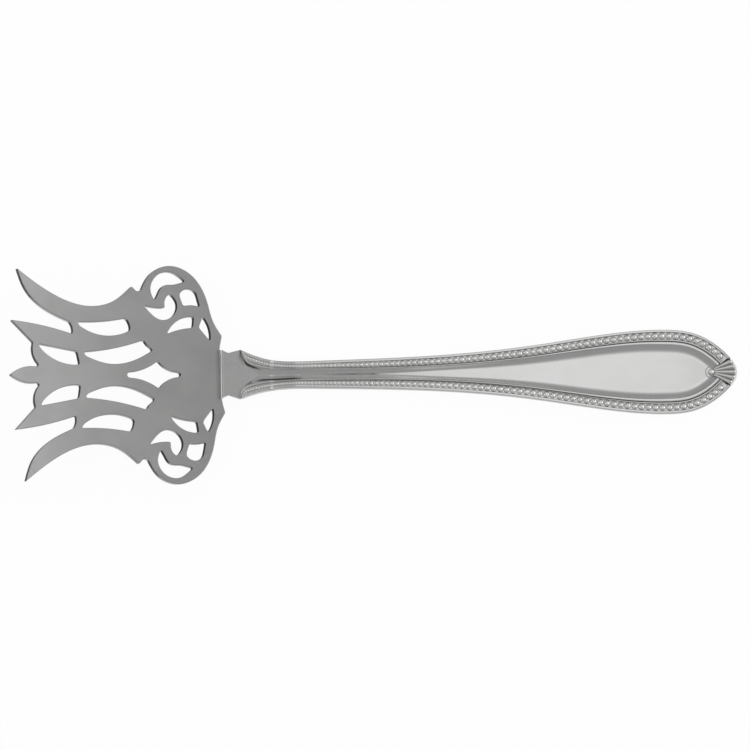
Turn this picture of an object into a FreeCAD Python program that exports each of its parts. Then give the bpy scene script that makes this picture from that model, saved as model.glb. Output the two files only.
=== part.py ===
import FreeCAD, Part
import math
import os

from FreeCAD import Vector

# Sardine fork of two soldered pieces. Millimetres, +Z up, +X from the tines to the handle's end.
# It is laid out about the seam, where the tongue's end meets the top face of the plate, and is
# moved at the end so that the origin is under the middle of its box.

# Pierced head: a sawn plate, flat under the tongue and bowed up towards the tines
plate_thickness = 1.5
head_length = 47.2
head_half_width = 23.5
head_pitch_deg = 18.5
head_bow_deg = 6.0
head_yaw_deg = 2.3
bow_start = 2.0
stub_length = 5.0
stub_inset = 0.45

# Lap joint
tongue_thickness = 1.2
tongue_end_half_width = 5.2
waist_half_width = 4.75
waist_from_end = 1.75
shoulder_half_width = 5.3
shoulder_from_end = 4.3
solder_gap = 0.05

# Handle: plan form
handle_length = 110.8
neck_half_width = 3.05
neck_from_seam = 20.0
end_half_width = 9.1
widest_from_end = 15.8

# Handle: side view
heel_run = 7.0
heel_radius = 22.0
arch_deg = 5.0
section_count = 20
section_easing = 0.88
panel_thickness = 1.55
border_height = 0.95
edge_height = 0.95
back_corner = 0.35

# Border at the neck and at the wide end: rim, bead channel, inner ridge and cove
rim_width_neck = 0.75
rim_width_end = 0.85
bead_pitch_neck = 0.60
bead_pitch_end = 1.52
bead_share = 0.90
bead_side_room = 0.10
bead_height_share = 0.72
bead_draw_in = 0.42
bead_foot = 0.20
bead_sides = 6
bead_step = 0.02
bead_fan_room = 0.40
channel_share = 0.60
rim_round = 0.12
rim_slope_share = 0.30
ridge_fall_share = 0.40
ridge_width_neck = 0.40
ridge_width_end = 1.05
ridge_easing = 3
cove_width_neck = 0.60
cove_width_end = 1.35
border_growth = 23.0
growth_before_neck = 4.0
leaf_length = 4.4
leaf_overlap = 0.25
first_bead_share = 0.35

# Least shares of the half width that the border's parts keep where the handle narrows to its tip
least_rim_share = 0.45
least_bead_share = 0.22
least_ridge_share = 0.12
least_cove_share = 0.05

# Fan at the handle's end
fan_length = 5.6
fan_half_angle_deg = 42.0
fan_overrun = 3.4
flute_count = 5
flute_sides = 8
flute_start = 0.50
flute_root_radius = 0.28
flute_depth = 0.60
flute_fall = 0.07
boss_radius = 0.50
body_end_from_tip = 2.0

# Curves of the handle's side in plan, as (share of the run, share of the swell or of the end)
NECK_FLARE = [(0.17, 0.56), (0.43, 0.13)]
BODY_SWELL = [(0.33, 0.13), (0.64, 0.49), (0.85, 0.87)]
END_ROUND = [(0.42, 0.912), (0.75, 0.593), (0.92, 0.286)]
LEAF_CURVE = [(0.14, 0.43), (0.50, 0.12)]

# How far cutting tools reach past what they cut: as a share of its size, and in millimetres
OVERRUN = 1.5
TOOL_MARGIN = 1.0

# Bulges and bends below these are straight
LEAST_BULGE = 1e-4
LEAST_BEND = 1e-6

# The pierced pattern is drawn 47.9 long and 23.5 to each side, and is stretched to the head's size
DRAWN_LENGTH = 47.9
DRAWN_HALF_WIDTH = 23.5

# Half of the outer edge, from the waist round to the tip of the centre tine, as (forward, across)
OUTER_EDGE = [
    [(-0.3, 6.3), (-0.8, 8.3)],
    [(-0.8, 8.3), (1.1, 11.6), (2.1, 15.4), (5.2, 21.2), (10.5, 23.5), (15.0, 21.7), (17.2, 18.2)],
    [(17.2, 18.2), (18.2, 18.0)],
    [(18.2, 18.0), (19.3, 19.1)],
    [(19.3, 19.1), (23.6, 15.9), (28.6, 14.8), (35.6, 16.5), (45.4, 22.8)],
    [(45.4, 22.8), (43.6, 18.2), (39.6, 14.2), (33.9, 11.4)],
    [(33.9, 11.4), (33.3, 10.2), (33.3, 8.8)],
    [(33.3, 8.8), (39.2, 10.4), (47.2, 11.7)],
    [(47.2, 11.7), (42.4, 6.9)],
    [(42.4, 6.9), (42.6, 4.8), (41.3, 2.2)],
    [(41.3, 2.2), (41.7, 1.7)],
    [(41.7, 1.7), (44.9, 1.6), (47.9, 0.0)],
]

# Windows between the tines
OUTER_WINDOW = [
    [(31.9, 11.4), (26.0, 11.5), (20.9, 12.2)],
    [(20.9, 12.2), (20.2, 11.0), (20.0, 9.6)],
    [(20.0, 9.6), (26.2, 8.5), (31.9, 11.4)],
]
INNER_WINDOW = [
    [(30.6, 4.9), (23.6, 5.8), (17.0, 7.5)],
    [(17.0, 7.5), (16.5, 6.5)],
    [(16.5, 6.5), (15.0, 5.3)],
    [(15.0, 5.3), (19.6, 3.1), (25.0, 2.4), (30.6, 4.9)],
]
TIP_WINDOW = [
    [(41.0, 6.6), (36.8, 5.8), (32.4, 5.0)],
    [(32.4, 5.0), (31.9, 2.2)],
    [(31.9, 2.2), (37.4, 3.3), (41.0, 6.6)],
]
DIAMOND_HALF = [
    [(8.8, 0.0), (9.2, 0.5)],
    [(9.2, 0.5), (12.2, 1.3), (14.0, 3.0)],
    [(14.0, 3.0), (16.8, 1.4), (20.9, 0.6)],
    [(20.9, 0.6), (21.3, 0.0)],
]

# Piercings of the scroll
CRESCENT = [
    [(14.2, 16.0), (15.0, 18.3), (13.4, 21.4), (10.6, 22.2), (7.0, 20.1)],
    [(7.0, 20.1), (9.8, 19.4)],
    [(9.8, 19.4), (12.4, 19.0), (13.4, 17.4), (14.2, 16.0)],
]
COMMA = [
    [(16.7, 15.0), (14.6, 14.5), (11.8, 14.4)],
    [(11.8, 14.4), (11.9, 15.8), (10.6, 17.5)],
    [(10.6, 17.5), (9.2, 15.6), (9.6, 13.3), (12.3, 11.8), (16.7, 15.0)],
]
EYE = [
    [(8.5, 17.2), (6.7, 18.5), (4.6, 17.5)],
    [(4.6, 17.5), (3.9, 14.6)],
    [(3.9, 14.6), (5.9, 15.0), (7.7, 14.8)],
    [(7.7, 14.8), (8.5, 17.2)],
]
LENS = [
    [(11.7, 8.8), (9.0, 11.7), (5.4, 12.5)],
    [(5.4, 12.5), (5.7, 10.1)],
    [(5.7, 10.1), (8.9, 9.7), (11.7, 8.8)],
]
WEDGE = [
    [(4.4, 10.2), (3.3, 12.5)],
    [(3.3, 12.5), (2.4, 11.1), (1.9, 7.2)],
    [(1.9, 7.2), (4.4, 10.2)],
]
SIDE_PIERCINGS = [OUTER_WINDOW, INNER_WINDOW, TIP_WINDOW, CRESCENT, COMMA, EYE, LENS, WEDGE]


def arc_from(start, heading, end):
    """The arc that leaves a point with a heading and ends at another point."""
    chord = end - start
    along = Vector(chord).normalize()
    side = heading - along * heading.dot(along)
    bulge = math.tan(math.atan2(side.Length, heading.dot(along)) / 2)
    if bulge < LEAST_BULGE:
        return Part.LineSegment(start, end).toShape()
    middle = start + chord * 0.5 + side.normalize() * (chord.Length * bulge / 2)
    return Part.Arc(start, middle, end).toShape()


def pair_of_arcs(start, heading, end, arriving):
    """Two arcs that meet smoothly and join two points with the given headings."""
    chord = end - start
    both = heading + arriving
    bend = 2 * (1 - heading.dot(arriving))
    if bend < LEAST_BEND:
        reach = chord.dot(chord) / (4 * chord.dot(arriving))
    else:
        root = math.sqrt(chord.dot(both) ** 2 + bend * chord.dot(chord))
        reach = (root - chord.dot(both)) / bend
    joint = (start + end + (heading - arriving) * reach) * 0.5
    return [arc_from(start, heading, joint), arc_from(end, arriving * -1, joint)]


def edges_through(points):
    """A line through two points, an arc through three, or smoothly joined arcs through more."""
    if len(points) == 2:
        return [Part.LineSegment(*points).toShape()]
    if len(points) == 3:
        return [Part.Arc(*points).toShape()]
    curve = Part.BSplineCurve()
    curve.interpolate(points)
    headings = [curve.tangent(curve.parameter(point))[0] for point in points]
    edges = []
    for index in range(len(points) - 1):
        edges += pair_of_arcs(points[index], headings[index], points[index + 1], headings[index + 1])
    return edges


def wire_of(runs):
    """A closed wire along a chain of runs of points."""
    edges = [edge for run in runs for edge in edges_through(run)]
    return Part.Wire(Part.__sortEdges__(edges))


def face_of(runs):
    """A flat face inside a closed chain of runs of points."""
    return Part.Face(wire_of(runs))


def mirrored(runs):
    """The same chain on the other side of the middle, in the order that keeps it closed."""
    return [[Vector(p.x, -p.y, p.z) for p in reversed(run)] for run in reversed(runs)]


def on_plate(runs):
    """Points of the drawn pattern at the head's size: forward is -X."""
    along = head_length / DRAWN_LENGTH
    across = head_half_width / DRAWN_HALF_WIDTH
    return [[Vector(-p[0] * along, p[1] * across, 0) for p in run] for run in runs]


# Heights that the plate's prism has to reach past, above and below
PLATE_REACH = head_length


def prism(runs, below, above):
    """A chain of runs as an upright prism."""
    face = face_of(runs)
    face.translate(Vector(0, 0, -below))
    return face.extrude(Vector(0, 0, below + above))


def plate_outline():
    """The plate's edge, with the stub that goes under the tongue."""
    half = on_plate(OUTER_EDGE)
    stub_half = waist_half_width - stub_inset
    corner = half[0][0]
    neck = Vector(0, stub_half, 0)
    stub = [
        [Vector(stub_length, -stub_half, 0), Vector(stub_length, stub_half, 0)],
        [Vector(stub_length, stub_half, 0), neck],
        [neck, corner],
    ]
    runs = stub + half
    other = mirrored(stub[1:] + half)
    return runs + other


def bowed_slab():
    """The sheet's thickness from the side: flat at the stub, then an arc that lifts the tines."""
    start = bow_start
    radius = (head_length - start) / math.radians(head_bow_deg)
    reach = math.radians(head_bow_deg) * OVERRUN
    wide = head_half_width * OVERRUN

    def on_bow(depth, angle):
        return Vector(-start - (radius + depth) * math.sin(angle), -wide,
                      radius - (radius + depth) * math.cos(angle))

    top, low = [[on_bow(depth, turn) for turn in (0, reach / 2, reach)] for depth in (0, plate_thickness)]
    back_top = Vector(stub_length * 2, -wide, 0)
    back_low = Vector(stub_length * 2, -wide, -plate_thickness)
    section = face_of([[back_low, back_top], [back_top, top[0]], top, [top[2], low[2]],
                       [low[2], low[1], low[0]], [low[0], back_low]])
    return section.extrude(Vector(0, 2 * wide, 0))


def set_on_seam(shape):
    """Pitches and turns a shape from the plate's own plane to its place at the seam."""
    shape.rotate(Vector(0, 0, 0), Vector(0, 1, 0), head_pitch_deg)
    shape.rotate(Vector(0, 0, 0), Vector(0, 0, 1), head_yaw_deg)
    return shape


def pierced_head():
    """The sawn plate with its five tines, windows and scroll piercings."""
    blank = prism(plate_outline(), PLATE_REACH, PLATE_REACH)
    tools = []
    for runs in SIDE_PIERCINGS:
        drawn = on_plate(runs)
        tools.append(prism(drawn, PLATE_REACH, PLATE_REACH))
        tools.append(prism(mirrored(drawn), PLATE_REACH, PLATE_REACH))
    diamond = on_plate(DIAMOND_HALF)
    tools.append(prism(diamond + mirrored(diamond), PLATE_REACH, PLATE_REACH))
    head = bowed_slab().common(blank).cut(tools)
    return set_on_seam(head)


# Side view of the handle's back: straight under the tongue, the heel's arc, then the long arch
PITCH = math.radians(head_pitch_deg)
ARCH = math.radians(arch_deg)
HEEL_X = heel_run * math.cos(PITCH) - plate_thickness * math.sin(PITCH)
HEEL_Z = -heel_run * math.sin(PITCH) - plate_thickness * math.cos(PITCH)
ARCH_X = HEEL_X + heel_radius * (math.sin(PITCH) + math.sin(ARCH))
ARCH_Z = HEEL_Z + heel_radius * (math.cos(PITCH) - math.cos(ARCH))
ARCH_RADIUS = (handle_length - ARCH_X) / (2 * math.sin(ARCH))


def back_at(x):
    """Height of the handle's back at x, and the back's slope as an angle."""
    if x < HEEL_X:
        return HEEL_Z + (HEEL_X - x) * math.tan(PITCH), -PITCH
    if x < ARCH_X:
        slope = math.asin((x - HEEL_X) / heel_radius - math.sin(PITCH))
        return HEEL_Z + heel_radius * (math.cos(PITCH) - math.cos(slope)), slope
    slope = math.asin(math.sin(ARCH) - (x - ARCH_X) / ARCH_RADIUS)
    return ARCH_Z + ARCH_RADIUS * (math.cos(slope) - math.cos(ARCH)), slope


def side_outline():
    """One side of the handle in plan, from the shoulder along the neck to the very tip."""
    swell = end_half_width - neck_half_width
    flare = shoulder_half_width - neck_half_width
    throat = neck_from_seam - shoulder_from_end
    widest = handle_length - widest_from_end
    body = widest - neck_from_seam
    shape = [(shoulder_from_end, shoulder_half_width)]
    shape += [(shoulder_from_end + throat * u, neck_half_width + flare * v) for u, v in NECK_FLARE]
    shape += [(neck_from_seam, neck_half_width)]
    shape += [(neck_from_seam + body * u, neck_half_width + swell * v) for u, v in BODY_SWELL]
    shape += [(widest, end_half_width)]
    shape += [(widest + widest_from_end * u, end_half_width * v) for u, v in END_ROUND]
    shape += [(handle_length, 0.0)]
    curve = Part.BSplineCurve()
    curve.interpolate([Vector(x, y, 0) for x, y in shape])
    return curve


OUTLINE = side_outline()


def half_width_at(x):
    """Half of the handle's width at x, and how fast it grows with x."""
    low, high = OUTLINE.FirstParameter, OUTLINE.LastParameter
    for _ in range(40):
        middle = (low + high) / 2
        if OUTLINE.value(middle).x < x:
            low = middle
        else:
            high = middle
    tangent = OUTLINE.tangent(low)[0]
    return OUTLINE.value(low).y, tangent.y / tangent.x


def growth_at(x):
    """0 at the neck, and nearly 1 from the middle of the handle on."""
    return 1 - math.exp(-max(0.0, x - neck_from_seam + growth_before_neck) / border_growth)


def between(at_neck, at_end, x):
    """A size that goes from its value at the neck to its value at the wide end."""
    return at_neck + (at_end - at_neck) * growth_at(x)


def ridge_width_at(x):
    """Width of the inner ridge, which broadens most near the wide end."""
    share = (x - neck_from_seam) / (handle_length - widest_from_end - neck_from_seam)
    eased = min(1.0, max(0.0, share)) ** ridge_easing
    return ridge_width_neck + (ridge_width_end - ridge_width_neck) * eased


def bead_radius_at(x):
    """Radius of a bead that fills its share of the pitch."""
    return bead_share * between(bead_pitch_neck, bead_pitch_end, x) / 2


def floor_at(x):
    """Thickness from the back to the smooth channel or panel."""
    return between(plate_thickness + tongue_thickness, panel_thickness, x)


def border_at(x):
    """Where the border's parts lie across the section, from the outside in, and its heights."""
    half, slope = half_width_at(x)
    stretch = math.hypot(1, slope)
    radius = bead_radius_at(x)
    rim = half - between(rim_width_neck, rim_width_end, x) * stretch
    bead = rim - 2 * (radius + bead_side_room) * stretch
    ridge = bead - ridge_width_at(x) * stretch
    cove = ridge - between(cove_width_neck, cove_width_end, x) * stretch
    top = floor_at(x) + border_height
    return {
        "half": half,
        "rim": max(rim, half * least_rim_share),
        "bead": max(bead, half * least_bead_share),
        "ridge": max(ridge, half * least_ridge_share),
        "cove": max(cove, half * least_cove_share),
        "top": top,
        "channel": top - channel_share * radius,
        "floor": floor_at(x),
    }


def section_at(x):
    """The handle's closed section at x."""
    base, slope = back_at(x)
    part = border_at(x)
    depth = part["top"] - part["channel"]

    def at(y, height):
        return Vector(x, y, base + height / math.cos(slope))

    def right_side():
        cove, ridge, bead, rim, half = [part[name] for name in ("cove", "ridge", "bead", "rim", "half")]
        inner = part["top"] - depth * ridge_fall_share
        crest = part["top"] - rim_round
        edge = (half - rim) * rim_slope_share
        corners = [
            at(cove, part["floor"]),
            at(ridge, inner),
            at((ridge + bead) / 2, part["top"]),
            at(bead, part["channel"]),
            at(rim, part["channel"]),
            at(rim + edge, part["top"]),
            at(half - edge, crest),
            at(half, edge_height),
            at(half - back_corner, 0),
        ]
        return [[a, b] for a, b in zip(corners, corners[1:])]

    panel = [[at(-part["cove"], part["floor"]), at(part["cove"], part["floor"])]]
    back = [[at(part["half"] - back_corner, 0), at(back_corner - part["half"], 0)]]
    right = right_side()
    runs = panel + right + back + mirrored(right)
    return Part.Wire([edge for run in runs for edge in edges_through(run)])


def struck_body():
    """The handle from the shoulders to the fan, lofted through its sections."""
    first = shoulder_from_end
    run = handle_length - body_end_from_tip - first
    stations = []
    for index in range(section_count + 1):
        share = index / section_count
        eased = share - section_easing * math.sin(2 * math.pi * share) / (2 * math.pi)
        stations.append(first + run * eased)
    return Part.makeLoft([section_at(x) for x in stations], True, False)


def tongue():
    """The flat tongue that laps over the plate, from its end to the shoulders."""
    wide = shoulder_half_width * 2
    base, slope = back_at(shoulder_from_end)
    over = plate_thickness + tongue_thickness
    end_top = Vector(tongue_thickness * math.sin(PITCH), -wide, tongue_thickness * math.cos(PITCH))
    end_low = Vector(-plate_thickness * math.sin(PITCH), -wide, -plate_thickness * math.cos(PITCH))
    far_low = Vector(shoulder_from_end, -wide, base)
    far_top = Vector(shoulder_from_end, -wide, base + over / math.cos(slope))
    side = face_of([[end_low, end_top], [end_top, far_top], [far_top, far_low], [far_low, end_low]])
    slab = side.extrude(Vector(0, 2 * wide, 0))
    corners = [(-wide, tongue_end_half_width), (0, tongue_end_half_width),
               (waist_from_end, waist_half_width), (shoulder_from_end, shoulder_half_width)]
    points = [Vector(x, y, 0) for x, y in corners]
    sides = [[a, b] for a, b in zip(points, points[1:])]
    plan = sides + [[points[-1], Vector(points[-1].x, -points[-1].y, 0)]] + mirrored(sides)
    plan = plan + [[Vector(points[0].x, -points[0].y, 0), points[0]]]
    return slab.common(prism(plan, PLATE_REACH, PLATE_REACH))


def leaf_clearance():
    """What is cut away over the tongue, so that each border starts as the point of a leaf."""
    start = Vector(shoulder_from_end - leaf_overlap, shoulder_half_width, 0)
    end_x = shoulder_from_end + leaf_length
    end_y = border_at(end_x)["ridge"]
    drop = shoulder_half_width - end_y
    curve = [start]
    curve += [Vector(shoulder_from_end + leaf_length * u, end_y + drop * v, 0) for u, v in LEAF_CURVE]
    curve += [Vector(end_x, end_y, 0)]
    outside = Vector(-TOOL_MARGIN, start.y + TOOL_MARGIN, 0)
    side = [[Vector(outside.x, 0, 0), outside], [outside, Vector(start.x, outside.y, 0)],
            [Vector(start.x, outside.y, 0), start], curve, [curve[-1], Vector(end_x, 0, 0)],
            [Vector(end_x, 0, 0), Vector(outside.x, 0, 0)]]
    levels = []
    for x in (outside.x, HEEL_X, (HEEL_X + end_x) / 2, end_x):
        base, slope = back_at(x)
        levels.append(Vector(x, -2 * start.y, base + floor_at(x) / math.cos(slope)))
    roof = PLATE_REACH
    air = face_of([levels[:2], levels[1:], [levels[-1], Vector(end_x, levels[-1].y, roof)],
                   [Vector(end_x, levels[-1].y, roof), Vector(outside.x, levels[0].y, roof)],
                   [Vector(outside.x, levels[0].y, roof), levels[0]]])
    above = air.extrude(Vector(0, 4 * start.y, 0))
    both = [prism(side, PLATE_REACH, PLATE_REACH), prism(mirrored(side), PLATE_REACH, PLATE_REACH)]
    return [above.common(tool) for tool in both]


def row_of_beads():
    """Centres and radii of one border's beads, on the channel's floor."""
    beads = []
    x = shoulder_from_end + leaf_length * first_bead_share
    last = None
    while True:
        half, slope = half_width_at(x)
        stretch = math.hypot(1, slope)
        radius = bead_radius_at(x)
        inset = between(rim_width_neck, rim_width_end, x) + radius + bead_side_room
        centre = Vector(x + slope / stretch * inset, half - inset / stretch, 0)
        room = radius * (1 + bead_fan_room)
        if centre.x > handle_length - fan_length and centre.y < fan_edge_at(centre.x) + room:
            return beads
        if last is None or centre.distanceToPoint(last) >= 2 * radius / bead_share:
            base, tilt = back_at(centre.x)
            level = base + border_at(centre.x)["channel"] / math.cos(tilt)
            centre.z = level
            beads.append((centre, radius))
            last = Vector(centre.x, centre.y, 0)
        x += bead_step


def faceted_taper(low_centre, low_radius, high_centre, high_radius, sides, across):
    """A straight taper of flats between two regular polygons that face along its axis."""
    axis = (high_centre - low_centre).normalize()
    other = axis.cross(across)
    rings = []
    for centre, radius in ((low_centre, low_radius), (high_centre, high_radius)):
        turns = [2 * math.pi * (index + 0.5) / sides for index in range(sides)]
        spokes = [across * math.cos(turn) + other * math.sin(turn) for turn in turns]
        rings.append([centre + spoke * radius for spoke in spokes])
    low, high = rings
    flats = [low, high]
    for index in range(sides):
        after = (index + 1) % sides
        flats.append([low[index], low[after], high[after], high[index]])
    return Part.Solid(Part.Shell([Part.Face(Part.makePolygon(flat + flat[:1])) for flat in flats]))


def bead_cap(centre, radius):
    """A bead with few faces: its foot is in the channel's floor, and it draws in to a small crown."""
    foot = centre - Vector(0, 0, bead_foot)
    crown = centre + Vector(0, 0, radius * bead_height_share)
    return faceted_taper(foot, radius, crown, radius * (1 - bead_draw_in), bead_sides, Vector(1, 0, 0))


def fan_edge_at(x):
    """Half of the fan's width at x."""
    return (x - handle_length + fan_length) * math.tan(math.radians(fan_half_angle_deg))


def fan():
    """The fan of flutes and its boss, from the panel's end to the tip."""
    heart_x = handle_length - fan_length
    top = back_at(heart_x)[0] + border_at(heart_x)["top"]
    heart = Vector(heart_x, 0, 0)
    reach = fan_length + fan_overrun
    spread = math.radians(fan_half_angle_deg)
    rays = [heart + Vector(math.cos(turn), math.sin(turn), 0) * reach for turn in (-spread, spread)]
    sector = prism([[heart, rays[0]], [rays[0], rays[1]], [rays[1], heart]], PLATE_REACH, PLATE_REACH)
    low = Vector(heart_x - boss_radius, 0, back_at(heart_x - boss_radius)[0])
    tip_low = Vector(heart_x + reach, 0, back_at(handle_length)[0])
    side = face_of([[low, tip_low], [tip_low, Vector(tip_low.x, 0, top - flute_depth)],
                    [Vector(tip_low.x, 0, top - flute_depth), Vector(low.x, 0, top - flute_depth)],
                    [Vector(low.x, 0, top - flute_depth), low]])
    side.translate(Vector(0, -reach, 0))
    solid = side.extrude(Vector(0, 2 * reach, 0)).common(sector)
    step = 2 * spread / flute_count
    for index in range(flute_count):
        angle = -spread + step * (index + 0.5)
        out = Vector(math.cos(angle), math.sin(angle), 0)
        root = heart + out * flute_start
        root.z = top - flute_depth
        far = heart + out * reach
        far.z = root.z - flute_fall * reach
        across = Vector(-out.y, out.x, 0)
        end_radius = reach * math.tan(step / 2)
        solid = solid.fuse(faceted_taper(root, flute_root_radius, far, end_radius, flute_sides, across))
    edge = OUTLINE.toShape()
    other = edge.mirror(Vector(0, 0, 0), Vector(0, 1, 0))
    close = Part.LineSegment(Vector(shoulder_from_end, shoulder_half_width, 0),
                             Vector(shoulder_from_end, -shoulder_half_width, 0)).toShape()
    plan = Part.Face(Part.Wire(Part.__sortEdges__([edge, other, close])))
    plan.translate(Vector(0, 0, -PLATE_REACH))
    solid = solid.common(plan.extrude(Vector(0, 0, 2 * PLATE_REACH)))
    return solid.fuse(bead_cap(Vector(heart_x, 0, top - flute_depth), boss_radius))


def rebate():
    """What is cut out under the tongue for the plate and its stub."""
    wide = shoulder_half_width * 2
    reach = wide + stub_length + solder_gap
    box = Part.makeBox(reach, 2 * wide, wide, Vector(-wide, -wide, -wide))
    return set_on_seam(box)


def beaded_handle():
    """The struck handle with its tongue, borders, beads and fan."""
    body = struck_body().fuse([tongue(), fan()])
    body = body.cut(leaf_clearance() + [rebate()])
    caps = []
    for centre, radius in row_of_beads():
        caps.append(bead_cap(centre, radius))
        caps.append(bead_cap(Vector(centre.x, -centre.y, centre.z), radius))
    return body.fuse(caps)


def main():
    """Builds both pieces, sets the origin under the middle of their box, and writes them."""
    pieces = {"pierced_head": pierced_head(), "beaded_handle": beaded_handle()}
    box = Part.makeCompound(list(pieces.values())).optimalBoundingBox(False)
    shift = Vector(-box.Center.x, -box.Center.y, -box.ZMin)
    os.makedirs("parts", exist_ok=True)
    for name, shape in pieces.items():
        solid = shape.Solids[0]
        solid.translate(shift)
        solid.exportStep("parts/" + name + ".step")
        print(name, len(shape.Solids), "solid,", round(solid.Volume, 1), "mm3")
    sizes = [round(value, 2) for value in (box.XLength, box.YLength, box.ZLength)]
    print("seam at", [round(value, 3) for value in shift], "box", sizes)


main()
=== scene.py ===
"""A silver sardine fork: a pierced, satin head lap-soldered to a beaded, polished handle.

Sizes are in millimetres unless a name says otherwise, and become metres where a mesh is made. The
fork is laid out about its seam, where the tongue's end meets the head's top face: X runs to the
handle's end, Y across the fork and Z up. The frame says where the seam lies.
"""

import logging
import math
from dataclasses import dataclass, field
from enum import Enum
from typing import Any

import bmesh
import bpy
import numpy as np
from mathutils import Matrix, Vector
from mathutils.geometry import delaunay_2d_cdt

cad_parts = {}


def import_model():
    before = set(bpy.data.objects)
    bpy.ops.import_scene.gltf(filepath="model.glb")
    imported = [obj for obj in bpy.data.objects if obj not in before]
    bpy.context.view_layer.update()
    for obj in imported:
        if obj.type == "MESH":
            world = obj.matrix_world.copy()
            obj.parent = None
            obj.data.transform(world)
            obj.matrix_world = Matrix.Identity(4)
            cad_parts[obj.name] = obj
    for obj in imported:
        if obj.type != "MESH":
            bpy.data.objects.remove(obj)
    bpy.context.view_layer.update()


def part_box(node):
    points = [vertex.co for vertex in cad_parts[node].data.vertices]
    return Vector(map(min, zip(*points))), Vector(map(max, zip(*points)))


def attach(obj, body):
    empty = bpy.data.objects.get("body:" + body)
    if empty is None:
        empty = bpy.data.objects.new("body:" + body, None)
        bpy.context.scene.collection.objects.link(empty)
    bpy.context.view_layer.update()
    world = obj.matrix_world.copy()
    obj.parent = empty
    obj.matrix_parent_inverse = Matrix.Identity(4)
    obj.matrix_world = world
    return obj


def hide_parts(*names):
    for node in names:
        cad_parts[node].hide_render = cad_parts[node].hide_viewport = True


MM = 0.001
BODY = "root"
HEAD_NODE = "pierced_head"
HANDLE_NODE = "beaded_handle"
OPEN_ROOM = 99.0
BUMP_STRENGTH = 0.35
NOISE_MEAN = 0.5
CLOUD_EDGES = (0.3, 0.7)
PATCH_CELLS = (900.0, 900.0, 900.0)
PATCH_LEAST = 0.75
PATCH_SPREAD = 0.5
REACH_STEPS = 30
SHEET_SHARP_DEG = 40.0
BODY_SHARP_DEG = 50.0
SMALL_SHARP_DEG = 60.0

Point = tuple[float, float]
Run = list[Point]
log = logging.getLogger("sardine_fork")


class Side(Enum):
    """The two sides of the fork's middle line."""

    LEFT = 1
    RIGHT = -1


class Slot(Enum):
    """The record's material slots."""

    SATIN = "satin_silver"
    POLISHED = "polished_silver"


# Shader and geometry nodes


class Value:
    """A number socket that Python's operators turn into Math nodes."""

    def __init__(self, bench: "Bench", socket: bpy.types.NodeSocket) -> None:
        """Wraps an output socket of a tree that the bench holds."""
        self.bench = bench
        self.socket = socket

    def _math(self, operation: str, *numbers: Any) -> "Value":
        """Adds one Math node on the given numbers or values."""
        node = self.bench.node("ShaderNodeMath", {"operation": operation}, dict(enumerate(numbers)))
        return Value(self.bench, node.outputs[0])

    def __add__(self, other: Any) -> "Value":
        """This value plus another."""
        return self._math("ADD", self, other)

    def __sub__(self, other: Any) -> "Value":
        """This value minus another."""
        return self._math("SUBTRACT", self, other)

    def __mul__(self, other: Any) -> "Value":
        """This value times another."""
        return self._math("MULTIPLY", self, other)

    __radd__ = __add__
    __rmul__ = __mul__

    def larger(self, other: Any) -> "Value":
        """The larger of this value and another."""
        return self._math("MAXIMUM", self, other)

    def mapped(self, low: float, high: float, to_low: float = 0.0, to_high: float = 1.0) -> "Value":
        """This value carried smoothly from one range to another.

        Args:
            low: Where the change starts.
            high: Where the change ends.
            to_low: The result at and before the start.
            to_high: The result at and past the end.

        Returns:
            The mapped value.
        """
        ends = {"From Min": low, "From Max": high, "To Min": to_low, "To Max": to_high}
        node = self.bench.node("ShaderNodeMapRange", {"interpolation_type": "SMOOTHSTEP"}, {"Value": self} | ends)
        return Value(self.bench, node.outputs["Result"])


class Bench:
    """A node tree and the one way in which nodes are added to it."""

    def __init__(self, tree: bpy.types.NodeTree) -> None:
        """Takes a tree and empties it."""
        self.tree = tree
        tree.nodes.clear()

    def node(self, kind: str, settings: dict[str, Any] | None = None,
             inputs: dict[Any, Any] | None = None) -> bpy.types.Node:
        """Adds a node.

        Args:
            kind: The node's type.
            settings: Properties that are set before any socket.
            inputs: Values, sockets or wrapped values, by the input's name or index.

        Returns:
            The new node.
        """
        node = self.tree.nodes.new(kind)
        for name, setting in (settings or {}).items():
            setattr(node, name, setting)
        for key, given in (inputs or {}).items():
            source = given.socket if isinstance(given, Value) else given
            if isinstance(source, bpy.types.NodeSocket):
                self.tree.links.new(source, node.inputs[key])
            else:
                node.inputs[key].default_value = source
        return node

    def value(self, kind: str, output: str, settings: dict[str, Any] | None = None,
              inputs: dict[Any, Any] | None = None) -> Value:
        """Adds a node and wraps one of its outputs."""
        return Value(self, self.node(kind, settings, inputs).outputs[output])

    def attribute(self, name: str) -> Value:
        """A number that the mesh carries."""
        return self.value("ShaderNodeAttribute", "Fac", {"attribute_name": name})

    def noise(self, stretch: tuple[float, float, float], detail: float = 3.0, rough: float = 0.55) -> Value:
        """Noise over the piece's own coordinates.

        Args:
            stretch: Cells to a metre along X, Y and Z.
            detail: Octaves.
            rough: How much the finer octaves count.

        Returns:
            The noise, about 0.5 on average.
        """
        place = self.node("ShaderNodeTexCoord")
        scaled = self.node("ShaderNodeMapping", None, {"Vector": place.outputs["Object"], "Scale": stretch})
        settings = {"Vector": scaled.outputs[0], "Scale": 1.0, "Detail": detail, "Roughness": rough}
        return self.value("ShaderNodeTexNoise", "Fac", None, settings)

    def blend(self, share: Value, first: Any, second: Any) -> bpy.types.NodeSocket:
        """A colour between two others, by a share from 0 to 1."""
        node = self.node("ShaderNodeMix", {"data_type": "RGBA"}, {"Factor": share, 6: first, 7: second})
        return node.outputs[2]


def grey(level: float, warmth: float = 0.0) -> tuple[float, float, float, float]:
    """A linear grey, a little warm or cool."""
    return (level * (1 + warmth), level, level * (1 - warmth), 1.0)


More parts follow.
